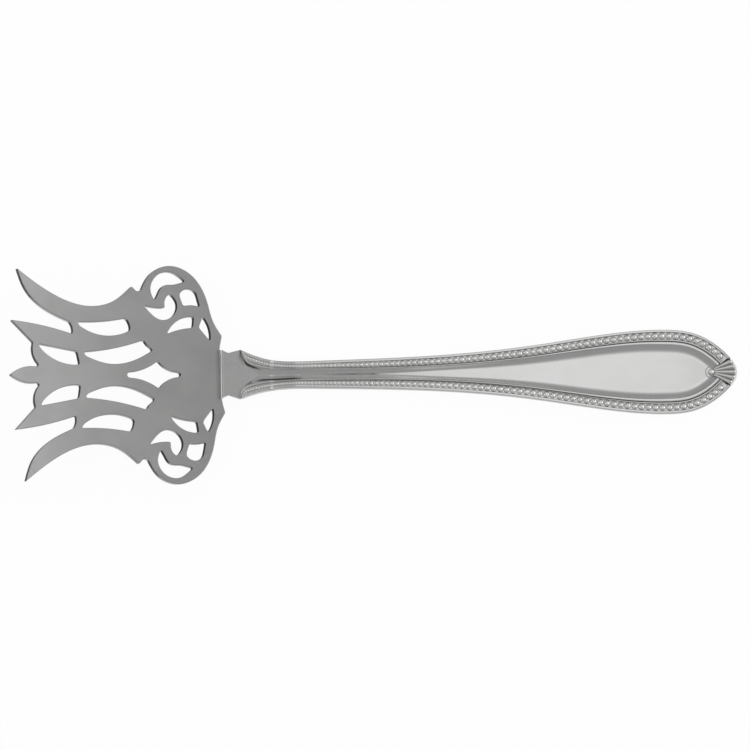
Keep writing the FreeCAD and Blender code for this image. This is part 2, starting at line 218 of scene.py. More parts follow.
@dataclass(frozen=True)
class Finish:
    """One metal finish: its colour, its polish and how dark it goes where painted shade and dirt are asked for."""

    name: str
    level: float
    warmth: float
    rough: float
    rough_spread: float
    dark_level: float
    dark_rough: float
    grain: tuple[float, float, float]
    grain_depth: float
    cloud: tuple[float, float, float] = (90.0, 130.0, 90.0)
    cloud_share: float = 0.05

    def make(self) -> bpy.types.Material:
        """Builds the material.

        Returns:
            A metal whose tone follows slow clouds, whose polish follows the grain, and which is
            dark by the mesh's own darkening number: painted shade, with dirt in the trough and solder.
        """
        material = bpy.data.materials.new(self.name)
        material.use_nodes = True
        bench = Bench(material.node_tree)
        clouds = bench.noise(self.cloud)
        grain = bench.noise(self.grain, detail=5.0, rough=0.6)
        tarnish_and_shade = bench.attribute("tarnish_and_shade")
        # Painted shade, with dirt in the trough and on the solder: the mesh's darkening number, broken up by
        # noise, takes the colour to dark_level and the roughness to dark_rough.
        patchy = (tarnish_and_shade * (PATCH_LEAST + PATCH_SPREAD * bench.noise(PATCH_CELLS))).mapped(0.0, 1.0)
        low, high = self.level * (1 - self.cloud_share), self.level * (1 + self.cloud_share)
        clean = bench.blend(clouds.mapped(*CLOUD_EDGES), grey(low, self.warmth), grey(high, self.warmth))
        colour = bench.blend(patchy, clean, grey(self.dark_level, self.warmth))
        polish = self.rough + (grain - NOISE_MEAN) * self.rough_spread
        rough = polish + patchy * (self.dark_rough - self.rough)
        bump = bench.node("ShaderNodeBump", None, {
            "Strength": BUMP_STRENGTH, "Distance": self.grain_depth * MM, "Height": grain})
        shader = bench.node("ShaderNodeBsdfPrincipled", None, {
            "Base Color": colour, "Metallic": 1.0, "Roughness": rough, "Normal": bump.outputs[0]})
        bench.node("ShaderNodeOutputMaterial", None, {"Surface": shader.outputs[0]})
        return material


SATIN_SHEET = Finish("satin_sheet", 0.47, 0.004, 0.31, 0.12, 0.012, 0.6, (420.0, 5200.0, 900.0), 0.012)
STRUCK_POLISH = Finish("struck_polish", 0.72, 0.006, 0.25, 0.08, 0.10, 0.45, (260.0, 3400.0, 900.0), 0.006,
                       cloud_share=0.02)
# Painted light: the beads and the boss are the handle's polished silver, made much brighter than the handle so
# that their tops read lit.
BEAD_POLISH_LIT = Finish("bead_polish_lit", 0.93, 0.006, 0.34, 0.06, 0.06, 0.45, (1800.0, 1800.0, 1800.0), 0.006)
SOLDER_GREY = Finish("solder_grey", 0.62, 0.01, 0.30, 0.2, 0.05, 0.6, (1500.0, 1500.0, 1500.0), 0.03)


# Plan curves


class SmoothCurve:
    """A smooth curve through points, as two cubic splines over the chord's length."""

    def __init__(self, points: Run) -> None:
        """Fits the splines through the points.

        Args:
            points: At least two points, in order.
        """
        self.points = np.array(points, float)
        self.knots = np.concatenate([[0.0], np.cumsum(np.linalg.norm(np.diff(self.points, axis=0), axis=1))])
        gaps = np.diff(self.knots)
        count = len(points)
        system = np.eye(count)
        target = np.zeros((count, 2))
        slopes = np.diff(self.points, axis=0) / gaps[:, None]
        for row in range(1, count - 1):
            before, after = gaps[row - 1], gaps[row]
            system[row, row - 1:row + 2] = (before, 2 * (before + after), after)
            target[row] = 6 * (slopes[row] - slopes[row - 1])
        self.bends = np.linalg.solve(system, target)

    @property
    def length(self) -> float:
        """The last knot."""
        return float(self.knots[-1])

    def at(self, distance: float) -> tuple[np.ndarray, np.ndarray]:
        """The point and the heading at a distance along the chords.

        Args:
            distance: Between 0 and the curve's length.

        Returns:
            The point, and the unit heading.
        """
        span = int(np.clip(np.searchsorted(self.knots, distance) - 1, 0, len(self.knots) - 2))
        gap = self.knots[span + 1] - self.knots[span]
        after = (distance - self.knots[span]) / gap
        before = 1 - after
        ends = self.points[span], self.points[span + 1]
        bends = self.bends[span], self.bends[span + 1]
        pull = ((before ** 3 - before) * bends[0] + (after ** 3 - after) * bends[1]) * gap ** 2 / 6
        tilt = ((1 - 3 * before ** 2) * bends[0] + (3 * after ** 2 - 1) * bends[1]) * gap / 6
        heading = (ends[1] - ends[0]) / gap + tilt
        return before * ends[0] + after * ends[1] + pull, heading / np.linalg.norm(heading)


def arc_points(start: Point, middle: Point, end: Point, step: float) -> Run:
    """Points along the arc through three points, without its last one.

    Args:
        start: The arc's first point.
        middle: A point that it goes through.
        end: Its last point.
        step: About how far apart the points are.

    Returns:
        The points.
    """
    (ax, ay), (bx, by), (cx, cy) = start, middle, end
    twice = 2 * (ax * (by - cy) + bx * (cy - ay) + cx * (ay - by))
    if abs(twice) < 1e-9:
        return [start, middle]
    squares = (ax * ax + ay * ay, bx * bx + by * by, cx * cx + cy * cy)
    x = (squares[0] * (by - cy) + squares[1] * (cy - ay) + squares[2] * (ay - by)) / twice
    y = (squares[0] * (cx - bx) + squares[1] * (ax - cx) + squares[2] * (bx - ax)) / twice
    radius = math.hypot(ax - x, ay - y)
    first, via, last = (math.atan2(p[1] - y, p[0] - x) for p in (start, middle, end))
    turn = (last - first) % math.tau
    if (via - first) % math.tau > turn:
        turn -= math.tau
    count = max(2, math.ceil(abs(turn) * radius / step))
    angles = [first + turn * index / count for index in range(count)]
    return [(x + radius * math.cos(angle), y + radius * math.sin(angle)) for angle in angles]


def sampled(runs: list[Run], step: float) -> Run:
    """Points along a chain of runs: lines through two points, arcs through three, curves through more.

    Args:
        runs: The runs, each starting where the one before ends.
        step: About how far apart the points are.

    Returns:
        The points, without the chain's last one.
    """
    points: Run = []
    for run in runs:
        if len(run) == 3:
            points += arc_points(*run, step)
        elif len(run) == 2:
            count = max(1, math.ceil(math.dist(*run) / (step * 4)))
            points += [tuple(np.array(run[0]) + (np.array(run[1]) - run[0]) * i / count) for i in range(count)]
        else:
            curve = SmoothCurve(run)
            count = math.ceil(curve.length / step)
            points += [tuple(curve.at(curve.length * i / count)[0]) for i in range(count)]
    return points


def smoothstep(low: float, high: float, x: float) -> float:
    """0 before the range, 1 past it, and smooth between."""
    share = min(1.0, max(0.0, (x - low) / (high - low)))
    return share * share * (3 - 2 * share)


# Pieces


def finished(name: str, mesh: bpy.types.Mesh, finish: bpy.types.Material,
             sharp: float | None = None) -> bpy.types.Object:
    """Links a mesh as a piece that rides on the fork.

    Args:
        name: The piece's name.
        mesh: Its mesh, already in place, in metres.
        finish: Its material.
        sharp: Degrees above which an edge stays sharp, or None to keep the mesh's own shading.

    Returns:
        The linked object.
    """
    piece = bpy.data.objects.new(name, mesh)
    bpy.context.scene.collection.objects.link(piece)
    mesh.materials.clear()
    mesh.materials.append(finish)
    if sharp is not None:
        mesh.shade_smooth()
        mesh.set_sharp_from_angle(angle=math.radians(sharp))
    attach(piece, BODY)
    log.info("%s: %d faces", name, len(mesh.polygons))
    return piece


def mesh_of(name: str, points: list[Vector], faces: list[tuple[int, ...]], tarnish_and_shade: list[float],
            merge: float = 2e-4) -> bpy.types.Mesh:
    """A mesh in metres from points in millimetres, with its tarnish, merged and facing outwards.

    Args:
        name: The mesh's name.
        points: Its points.
        faces: Its faces, as indices.
        tarnish_and_shade: 0 for clean to 1 for dark, a number for each point; mostly painted shade.
        merge: Points nearer than this, in millimetres, become one.

    Returns:
        The mesh.
    """
    mesh = bpy.data.meshes.new(name)
    mesh.from_pydata([point * MM for point in points], [], faces)
    mesh.attributes.new("tarnish_and_shade", "FLOAT", "POINT").data.foreach_set("value", tarnish_and_shade)
    work = bmesh.new()
    work.from_mesh(mesh)
    bmesh.ops.remove_doubles(work, verts=work.verts, dist=merge * MM)
    bmesh.ops.dissolve_degenerate(work, edges=work.edges, dist=merge * MM)
    bmesh.ops.recalc_face_normals(work, faces=work.faces)
    work.to_mesh(mesh)
    work.free()
    return mesh


def tube_faces(spans: int, around: int) -> list[tuple[int, ...]]:
    """Faces of a closed tube, whose points are given ring after ring.

    Args:
        spans: Spaces between the rings.
        around: Points in a ring.

    Returns:
        The quads, and a face over the first end and over the last.
    """
    faces: list[tuple[int, ...]] = []
    for low in range(0, spans * around, around):
        high = low + around
        faces += [(low + i, high + i, high + (i + 1) % around, low + (i + 1) % around) for i in range(around)]
    return faces + [tuple(range(around)), tuple(range(spans * around, (spans + 1) * around))]


@dataclass(frozen=True)
class Setting:
    """Where the seam is, and how the head sits on it."""

    seam: Vector
    pitch: float
    yaw: float

    def from_head(self, point: Vector) -> Vector:
        """A point of the head's own plane, set on the seam."""
        turned = Matrix.Rotation(self.yaw, 3, "Z") @ Matrix.Rotation(self.pitch, 3, "Y") @ point
        return turned + self.seam

    def from_handle(self, point: Vector) -> Vector:
        """A point of the handle's frame, set on the seam."""
        return point + self.seam


@dataclass
class PiercedHead:
    """The sawn sheet with its five tines, windows and scroll piercings."""

    length: float = 47.2
    half_width: float = 23.5
    thickness: float = 1.5
    pitch_deg: float = 18.5
    bow_deg: float = 6.0
    yaw_deg: float = 2.3
    bow_start: float = 2.0
    stub_length: float = 5.0
    stub_half_width: float = 4.3
    edge_round: float = 0.13
    edge_soften: float = 0.15
    window_soften: float = 0.36
    # Painted shade on the sawn walls: full in the windows, less on the outer edge, and less again where a wall
    # faces across the fork.
    wall_shade: float = 0.30
    outer_wall_shade: float = 0.8
    edge_steps: int = 3
    least_mitre: float = 0.6
    end_facing: Point = (0.45, 0.95)
    top_facing: float = 0.9
    flat_facing: float = 0.999
    outline_step: float = 0.22
    strip: float = 1.2
    drawn_length: float = 47.9
    drawn_half_width: float = 23.5
    outer_edge: list[Run] = field(default_factory=lambda: [
        [(-0.3, 6.3), (-0.8, 8.3)],
        [(-0.8, 8.3), (1.1, 11.6), (2.1, 15.4), (5.2, 21.2), (10.5, 23.5), (15.0, 21.7), (17.2, 18.2)],
        [(17.2, 18.2), (18.2, 18.0)],
        [(18.2, 18.0), (19.3, 19.1)],
        [(19.3, 19.1), (23.6, 15.9), (28.6, 14.8), (35.6, 16.5), (45.4, 22.8)],
        [(45.4, 22.8), (43.6, 18.2), (39.6, 14.2), (33.9, 11.4)],
        [(33.9, 11.4), (33.3, 10.2), (33.3, 8.8)],
        [(33.3, 8.8), (39.2, 10.4), (47.2, 11.7)],
        [(47.2, 11.7), (42.4, 6.9)],
        [(42.4, 6.9), (42.6, 4.8), (41.3, 2.2)],
        [(41.3, 2.2), (41.7, 1.7)],
        [(41.7, 1.7), (44.9, 1.6), (47.9, 0.0)],
    ])
    windows: dict[str, list[Run]] = field(default_factory=lambda: {
        "outer": [
            [(32.1, 11.4), (26.0, 11.5), (20.9, 12.2)],
            [(20.9, 12.2), (20.2, 11.0), (20.0, 9.6)],
            [(20.0, 9.6), (26.2, 8.5), (31.6, 10.6)],
            [(31.6, 10.6), (32.1, 11.4)],
        ],
        "inner": [
            [(30.9, 4.9), (23.6, 5.8), (17.0, 7.5)],
            [(17.0, 7.5), (16.5, 6.5)],
            [(16.5, 6.5), (15.0, 5.3)],
            [(15.0, 5.3), (19.6, 3.1), (25.0, 2.4), (30.5, 4.1)],
            [(30.5, 4.1), (30.9, 4.9)],
        ],
        "tip": [
            [(41.2, 6.6), (36.8, 5.8), (32.4, 5.0)],
            [(32.4, 5.0), (31.9, 2.2)],
            [(31.9, 2.2), (37.4, 3.2), (40.9, 5.9)],
            [(40.9, 5.9), (41.2, 6.6)],
        ],
        "crescent": [
            [(14.2, 16.0), (15.0, 18.3), (13.4, 21.4), (10.6, 22.2), (7.0, 20.1)],
            [(7.0, 20.1), (9.8, 19.4)],
            [(9.8, 19.4), (12.4, 19.0), (13.4, 17.4), (14.2, 16.0)],
        ],
        "comma": [
            [(16.7, 15.0), (14.6, 14.5), (11.8, 14.4)],
            [(11.8, 14.4), (11.9, 15.8), (10.6, 17.5)],
            [(10.6, 17.5), (9.2, 15.6), (9.6, 13.3), (12.3, 11.8), (16.7, 15.0)],
        ],
        "eye": [
            [(8.5, 17.2), (6.7, 18.5), (4.6, 17.5)],
            [(4.6, 17.5), (3.9, 14.6)],
            [(3.9, 14.6), (5.9, 15.0), (7.7, 14.8)],
            [(7.7, 14.8), (8.5, 17.2)],
        ],
        "lens": [
            [(11.7, 8.8), (9.0, 11.7), (5.4, 12.5)],
            [(5.4, 12.5), (5.7, 10.1)],
            [(5.7, 10.1), (8.9, 9.7), (11.7, 8.8)],
        ],
        "wedge": [
            [(4.4, 10.2), (3.3, 12.5)],
            [(3.3, 12.5), (2.4, 11.1), (1.9, 7.2)],
            [(1.9, 7.2), (4.4, 10.2)],
        ],
    })
    diamond_half: list[Run] = field(default_factory=lambda: [
        [(8.8, 0.0), (9.2, 0.5)],
        [(9.2, 0.5), (12.2, 1.3), (14.0, 3.0)],
        [(14.0, 3.0), (16.8, 1.4), (20.9, 0.6)],
        [(20.9, 0.6), (21.3, 0.0)],
    ])

    def plan(self, points: Run) -> Run:
        """Drawn points at the head's size: forward is -X.

        Args:
            points: The points as drawn.

        Returns:
            The points, stretched and turned forward.
        """
        along = self.length / self.drawn_length
        across = self.half_width / self.drawn_half_width
        return [(-x * along, y * across) for x, y in points]

    def softened(self, loop: Run, wear: float) -> Run:
        """A closed loop with its corners a little worn, as a file leaves them.

        Args:
            loop: The loop's points.
            wear: How far along the loop the wear reaches.

        Returns:
            As many points, spaced evenly along the worn loop.
        """
        points = np.array(loop, float)
        closed = np.vstack([points, points[:1]])
        run = np.concatenate([[0.0], np.cumsum(np.linalg.norm(np.diff(closed, axis=0), axis=1))])
        count = math.ceil(run[-1] / self.outline_step)
        spacing = run[-1] / count
        places = np.arange(count) * spacing
        even = np.stack([np.interp(places, run, closed[:, axis]) for axis in (0, 1)], axis=1)
        reach = math.ceil(3 * wear / spacing)
        weights = np.exp(-0.5 * (np.arange(-reach, reach + 1) * spacing / wear) ** 2)
        shifts = range(-reach, reach + 1)
        worn = sum(weight * np.roll(even, -shift, axis=0) for shift, weight in zip(shifts, weights))
        return [tuple(point) for point in worn / weights.sum()]

    def loops(self) -> list[Run]:
        """The outer edge and every opening, as closed loops of points.

        Returns:
            The outer edge first, then the openings.
        """
        half = self.plan(sampled(self.outer_edge, self.outline_step))
        tip = self.plan([self.outer_edge[-1][-1]])
        stub = [(self.stub_length, self.stub_half_width), (0.0, self.stub_half_width)]
        edge = stub + half
        loops = [edge + tip + [(x, -y) for x, y in reversed(edge)]]
        for runs in self.windows.values():
            opening = self.plan(sampled(runs, self.outline_step))
            loops += [opening, [(x, -y) for x, y in opening]]
        half = self.plan(sampled(self.diamond_half, self.outline_step))
        last = self.plan([self.diamond_half[-1][-1]])
        loops.append(half + last + [(x, -y) for x, y in reversed(half[1:])])
        openings = [self.softened(points, self.window_soften) for points in loops[1:]]
        return [self.softened(loops[0], self.edge_soften)] + openings

    def moved_in(self, loop: np.ndarray, inset: float) -> np.ndarray:
        """A loop moved into the metal, which lies on its left, by an inset.

        Args:
            loop: The loop's points.
            inset: How far it moves.

        Returns:
            The moved points.
        """
        forward = np.roll(loop, -1, axis=0) - loop
        forward /= np.linalg.norm(forward, axis=1)[:, None]
        left = np.stack([-forward[:, 1], forward[:, 0]], axis=1)
        middle = left + np.roll(left, 1, axis=0)
        middle /= np.maximum(np.linalg.norm(middle, axis=1), 1e-6)[:, None]
        spread = np.maximum(np.sum(middle * left, axis=1), self.least_mitre)
        return loop + middle * (inset / spread)[:, None]

    def cap(self, loops: list[np.ndarray]) -> tuple[list[Point], list[tuple[int, ...]]]:
        """Triangles that fill the metal between the loops.

        Args:
            loops: The outer edge and the openings.

        Returns:
            The points, and the triangles as indices.
        """
        points = [Vector(point) for loop in loops for point in loop]
        edges: list[tuple[int, int]] = []
        for loop in loops:
            first = len(edges)
            edges += [(first + i, first + (i + 1) % len(loop)) for i in range(len(loop))]
        made = delaunay_2d_cdt(points, edges, [], 1, 1e-6)
        places, triangles = np.array(made[0]), np.array(made[2])
        centres = places[triangles].mean(axis=1)
        inside = np.zeros(len(centres), bool)
        for loop in loops:
            after = np.roll(loop, -1, axis=0)
            for (ax, ay), (bx, by) in zip(loop, after):
                crossing = (ay > centres[:, 1]) != (by > centres[:, 1])
                if crossing.any():
                    at = ax + (centres[:, 1] - ay) * (bx - ax) / (by - ay if by != ay else 1.0)
                    inside ^= crossing & (centres[:, 0] < at)
        return [tuple(place) for place in places], [tuple(t) for t in triangles[inside].tolist()]

    def sheet(self) -> bpy.types.Mesh:
        """The flat sheet with its edges rounded over, in millimetres, its top at 0.

        Returns:
            The mesh, whose sawn walls carry painted shade in their darkening number.
        """
        loops = []
        for index, points in enumerate(self.loops()):
            loop = np.array(points, float)
            after = np.roll(loop, -1, axis=0)
            area = np.sum(loop[:, 0] * after[:, 1] - after[:, 0] * loop[:, 1])
            loops.append(loop if (area > 0) == (index == 0) else loop[::-1])
        turns = [math.pi / 2 * step / self.edge_steps for step in range(self.edge_steps + 1)]
        top = [(self.edge_round * (1 - math.sin(turn)), -self.edge_round * (1 - math.cos(turn))) for turn in turns]
        levels = top + [(inset, -self.thickness - z) for inset, z in reversed(top)]
        points: list[tuple[float, float, float]] = []
        faces: list[tuple[int, ...]] = []
        tarnish_and_shade: list[float] = []
        for loop in loops:
            count, first = len(loop), len(points)
            for inset, z in levels:
                points += [(x, y, z) for x, y in self.moved_in(loop, inset)]
            for level in range(len(levels) - 1):
                low, high = first + level * count, first + (level + 1) * count
                for index in range(count):
                    after = (index + 1) % count
                    faces.append((low + index, high + index, high + after, low + after))
            # Painted shade: every window's walls in full, the outer edge's walls less.
            tarnish_and_shade += [1.0 if tarnish_and_shade else self.outer_wall_shade] * (len(faces) - len(tarnish_and_shade))
        places, triangles = self.cap([self.moved_in(loop, self.edge_round) for loop in loops])
        for z, turned in ((0.0, False), (-self.thickness, True)):
            first = len(points)
            points += [(x, y, z) for x, y in places]
            faces += [tuple(first + i for i in (reversed(t) if turned else t)) for t in triangles]
        mesh = bpy.data.meshes.new("head_sheet")
        mesh.from_pydata(points, [], faces)
        tarnish_and_shade += [0.0] * (len(faces) - len(tarnish_and_shade))
        mesh.attributes.new("tarnish_and_shade", "FLOAT", "FACE").data.foreach_set("value", tarnish_and_shade)
        return mesh

    def rise(self, x: float) -> float:
        """How far the bow lifts the sheet at x.

        Args:
            x: The place along the head, from the seam.

        Returns:
            The lift.
        """
        start = -x - self.bow_start
        if start <= 0:
            return 0.0
        radius = (self.length - self.bow_start) / math.radians(self.bow_deg)
        return radius - math.sqrt(radius ** 2 - start ** 2)

    def build(self, setting: Setting, finish: bpy.types.Material) -> bpy.types.Object:
        """Makes the head and sets it on the seam.

        Args:
            setting: Where the seam is.
            finish: The sheet's material.

        Returns:
            The piece.
        """
        mesh = self.sheet()
        work = bmesh.new()
        work.from_mesh(mesh)
        bmesh.ops.remove_doubles(work, verts=work.verts, dist=1e-4)
        bmesh.ops.recalc_face_normals(work, faces=work.faces)
        x = self.stub_length - self.strip
        while x > -self.length:
            geometry = work.verts[:] + work.edges[:] + work.faces[:]
            bmesh.ops.bisect_plane(work, geom=geometry, dist=1e-5, plane_co=(x, 0, 0), plane_no=(1, 0, 0))
            x -= self.strip
        tarnish_and_shade = work.faces.layers.float["tarnish_and_shade"]
        work.normal_update()
        for face in work.faces:
            # Painted shade on the walls, most where they face along the fork; the top and bottom faces stay clean.
            towards_ends = smoothstep(*self.end_facing, abs(face.normal.x))
            sawn = self.wall_shade + (1 - self.wall_shade) * towards_ends
            face[tarnish_and_shade] *= sawn if face.normal.z < self.top_facing else 0.0
            face.smooth = True
        for edge in work.edges:
            levels = [abs(face.normal.z) > self.flat_facing for face in edge.link_faces]
            edge.smooth = len(set(levels)) == 1 and edge.calc_face_angle(0.0) < math.radians(SHEET_SHARP_DEG)
        for vertex in work.verts:
            lift = self.rise(vertex.co.x)
            point = setting.from_head(Vector((vertex.co.x, vertex.co.y, vertex.co.z + lift)))
            vertex.co = point * MM
        work.to_mesh(mesh)
        work.free()
        piece = finished("head_sheet", mesh, finish)
        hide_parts(HEAD_NODE)
        return piece


@dataclass(frozen=True)
class Corner:
    """A corner of the handle's section."""

    inset: float
    height: float
    fillet: float
    # How dark the corner is: painted shade on the walls and in the grooves.
    tarnish_and_shade: float


@dataclass
class HandleForm:
    """Plan, side view and border of the handle."""

    length: float = 110.8
    plate: float = 1.5
    tongue: float = 1.2
    pitch_deg: float = 18.5
    end_corner: Point = (0.0, 5.2)
    waist: Point = (1.75, 4.55)
    shoulder: Point = (4.3, 5.3)
    stub_end: float = 4.75
    neck: Point = (20.0, 2.94)
    end_half_width: float = 9.1
    widest_from_end: float = 15.8
    heel_run: float = 7.0
    heel_radius: float = 22.0
    arch_deg: float = 5.0
    panel_thickness: float = 1.55
    border_height: float = 0.95
    edge_height: float = 0.95
    growth_before_neck: float = 4.0
    border_growth: float = 23.0
    rim: Point = (0.72, 0.62)
    bead_pitch: Point = (0.60, 1.52)
    ridge: Point = (0.40, 1.27)
    ridge_easing: int = 3
    cove: Point = (0.95, 1.80)
    cove_run: Point = (42.0, 78.0)
    cove_at_leaf: float = 0.62
    coves_meet: Point = (6.6, 35.0)
    bend_radius: float = 3.0
    bead_share: float = 0.96
    bead_room: float = 0.04
    leaf_run: float = 2.2
    leaf_swell: float = 0.45
    crown_radius: float = 90.0
    crown_run: Point = (28.0, 62.0)
    leaf_opening: float = 4.0
    meeting_in: float = 3.0
    meeting_out: Point = (3.0, 5.0)
    least_cove: float = 0.05
    inward_run: float = 3.0
    bead_bed: float = 0.62
    swell_run: tuple[float, float, float, float] = (5.0, 7.0, 8.0, 14.0)
    neck_curve: tuple[Point, ...] = ((0.17, 0.56), (0.43, 0.13))
    body_curve: tuple[Point, ...] = ((0.33, 0.13), (0.64, 0.49), (0.85, 0.87))
    end_curve: tuple[Point, ...] = ((0.42, 0.912), (0.75, 0.597), (0.92, 0.31), (0.985, 0.13))

    def __post_init__(self) -> None:
        """Works out the side view's turning points and the plan's curve."""
        self.pitch = math.radians(self.pitch_deg)
        arch = math.radians(self.arch_deg)
        self.heel_x = self.heel_run * math.cos(self.pitch) - self.plate * math.sin(self.pitch)
        self.heel_z = -self.heel_run * math.sin(self.pitch) - self.plate * math.cos(self.pitch)
        self.arch_x = self.heel_x + self.heel_radius * (math.sin(self.pitch) + math.sin(arch))
        self.arch_z = self.heel_z + self.heel_radius * (math.cos(self.pitch) - math.cos(arch))
        self.arch = arch
        self.arch_radius = (self.length - self.arch_x) / (2 * math.sin(arch))
        thick = self.plate + self.tongue
        self.bend_low = self.heel_z + thick / math.cos(self.pitch)
        self.bend_high = self.arch_z + thick / math.cos(arch)
        fall = self.bend_low - self.bend_high + self.heel_x * math.tan(self.pitch) + self.arch_x * math.tan(arch)
        self.bend_x = fall / (math.tan(self.pitch) + math.tan(arch))
        neck_x, neck_y = self.neck
        start_x, start_y = self.shoulder
        widest = self.length - self.widest_from_end
        flare, swell = start_y - neck_y, self.end_half_width - neck_y
        points = [self.shoulder]
        points += [(start_x + (neck_x - start_x) * u, neck_y + flare * v) for u, v in self.neck_curve]
        points += [self.neck]
        points += [(neck_x + (widest - neck_x) * u, neck_y + swell * v) for u, v in self.body_curve]
        points += [(widest, self.end_half_width)]
        points += [(widest + self.widest_from_end * u, self.end_half_width * v) for u, v in self.end_curve]
        points += [(self.length, 0.0)]
        self.outline = SmoothCurve(points)

    @property
    def lowest(self) -> float:
        """Height of the heel's lowest point, below the seam."""
        return self.heel_z + self.heel_radius * (math.cos(self.pitch) - 1)

    def back(self, x: float) -> tuple[float, float]:
        """Height of the back at x, and the back's slope as an angle.

        Args:
            x: The place along the handle.

        Returns:
            The height below the seam, and the slope in radians.
        """
        if x < self.heel_x:
            return self.heel_z + (self.heel_x - x) * math.tan(self.pitch), -self.pitch
        if x < self.arch_x:
            slope = math.asin((x - self.heel_x) / self.heel_radius - math.sin(self.pitch))
            return self.heel_z + self.heel_radius * (math.cos(self.pitch) - math.cos(slope)), slope
        slope = math.asin(math.sin(self.arch) - (x - self.arch_x) / self.arch_radius)
        return self.arch_z + self.arch_radius * (math.cos(slope) - math.cos(self.arch)), slope

    def between(self, ends: Point, x: float) -> float:
        """A size that goes from its value at the neck to its value at the wide end."""
        run = max(0.0, x - self.neck[0] + self.growth_before_neck)
        return ends[0] + (ends[1] - ends[0]) * (1 - math.exp(-run / self.border_growth))

    def bead_radius(self, x: float) -> float:
        """Radius of a bead that fills its share of the pitch."""
        return self.bead_share * self.between(self.bead_pitch, x) / 2

    def floor(self, x: float) -> float:
        """Thickness from the back to the smooth tongue, channel or panel.

        Args:
            x: The place along the handle.

        Returns:
            The thickness.
        """
        if not self.heel_x < x < self.arch_x:
            return self.between((self.plate + self.tongue, self.panel_thickness), x)
        base, slope = self.back(x)
        return (self.bend_height(x) - base) * math.cos(slope)

    def bend_height(self, x: float) -> float:
        """Height of the top where the tongue's slope turns into the handle's, in a short bend.

        Args:
            x: The place along the handle.

        Returns:
            The height below the seam.
        """
        low, high = math.tan(self.pitch), math.tan(self.arch)
        falling = self.bend_low + (self.heel_x - x) * low
        rising = self.bend_high + (x - self.arch_x) * high
        reach = self.bend_radius * math.tan((self.pitch + self.arch) / 2)
        start = self.bend_x - reach * math.cos(self.pitch)
        if x < start:
            return falling
        if x > self.bend_x + reach * math.cos(self.arch):
            return rising
        centre_x = start + self.bend_radius * math.sin(self.pitch)
        centre_z = self.bend_low + (self.heel_x - start) * low + self.bend_radius * math.cos(self.pitch)
        return centre_z - math.sqrt(self.bend_radius ** 2 - (x - centre_x) ** 2)

    def ridge_width(self, x: float) -> float:
        """Width of the inner ridge, which broadens most near the wide end.

        Args:
            x: The place along the handle.

        Returns:
            The width, with its swell inside the leaf.
        """
        share = (x - self.neck[0]) / (self.length - self.widest_from_end - self.neck[0])
        rise, full, fall, gone = self.swell_run
        swell = self.leaf_swell * smoothstep(rise, full, x) * (1 - smoothstep(fall, gone, x))
        growth = min(1.0, max(0.0, share)) ** self.ridge_easing
        return self.ridge[0] + (self.ridge[1] - self.ridge[0]) * growth + swell

    def cove_width(self, x: float, room: float) -> float:
        """Width of the hollow between ridge and panel: a step at the leaf, and all the room at the neck.

        Args:
            x: The place along the handle.
            room: Distance from the ridge to the middle line.

        Returns:
            The width, at most the room.
        """
        start, end = self.coves_meet
        width = self.cove[0] + (self.cove[1] - self.cove[0]) * smoothstep(*self.cove_run, x)
        width *= self.cove_at_leaf + (1 - self.cove_at_leaf) * smoothstep(start, start + self.leaf_opening, x)
        meeting = smoothstep(start, start + self.meeting_in, x)
        meeting *= 1 - smoothstep(end - self.meeting_out[0], end + self.meeting_out[1], x)
        return max(self.least_cove, min(room, width + (max(room, width) - width) * meeting if meeting else width))

    def crown(self, x: float) -> float:
        """How much of its crown the panel has at x."""
        return smoothstep(*self.crown_run, x) / (2 * self.crown_radius)

    def top(self, x: float) -> float:
        """Thickness from the back to the border's crests."""
        return self.floor(x) + self.border_height

    def channel(self, x: float) -> float:
        """Thickness from the back to the floor that the beads sit on."""
        return self.top(x) - self.bead_bed * self.bead_radius(x)

    def leaf(self, distance: float) -> float:
        """How much of its width the border has, at a distance along the outline from the shoulder."""
        share = min(1.0, max(0.0, distance / self.leaf_run))
        return math.sqrt(1 - (1 - share) ** 2)

    def inward(self, distance: float, heading: np.ndarray) -> np.ndarray:
        """Which way the border lies from the outline: straight across where the leaf starts.

        Args:
            distance: Distance along the outline from the shoulder.
            heading: The outline's heading there.

        Returns:
            The unit direction into the handle.
        """
        turned = smoothstep(0.0, self.inward_run, distance)
        across = np.array([heading[1] * turned, -heading[0] * turned - (1 - turned)])
        return across / np.linalg.norm(across)

    def set_at(self, x: float, y: float, height: float) -> Vector:
        """A point at x and y, at a thickness above the back."""
        base, slope = self.back(x)
        return Vector((x, y, base + height / math.cos(slope)))


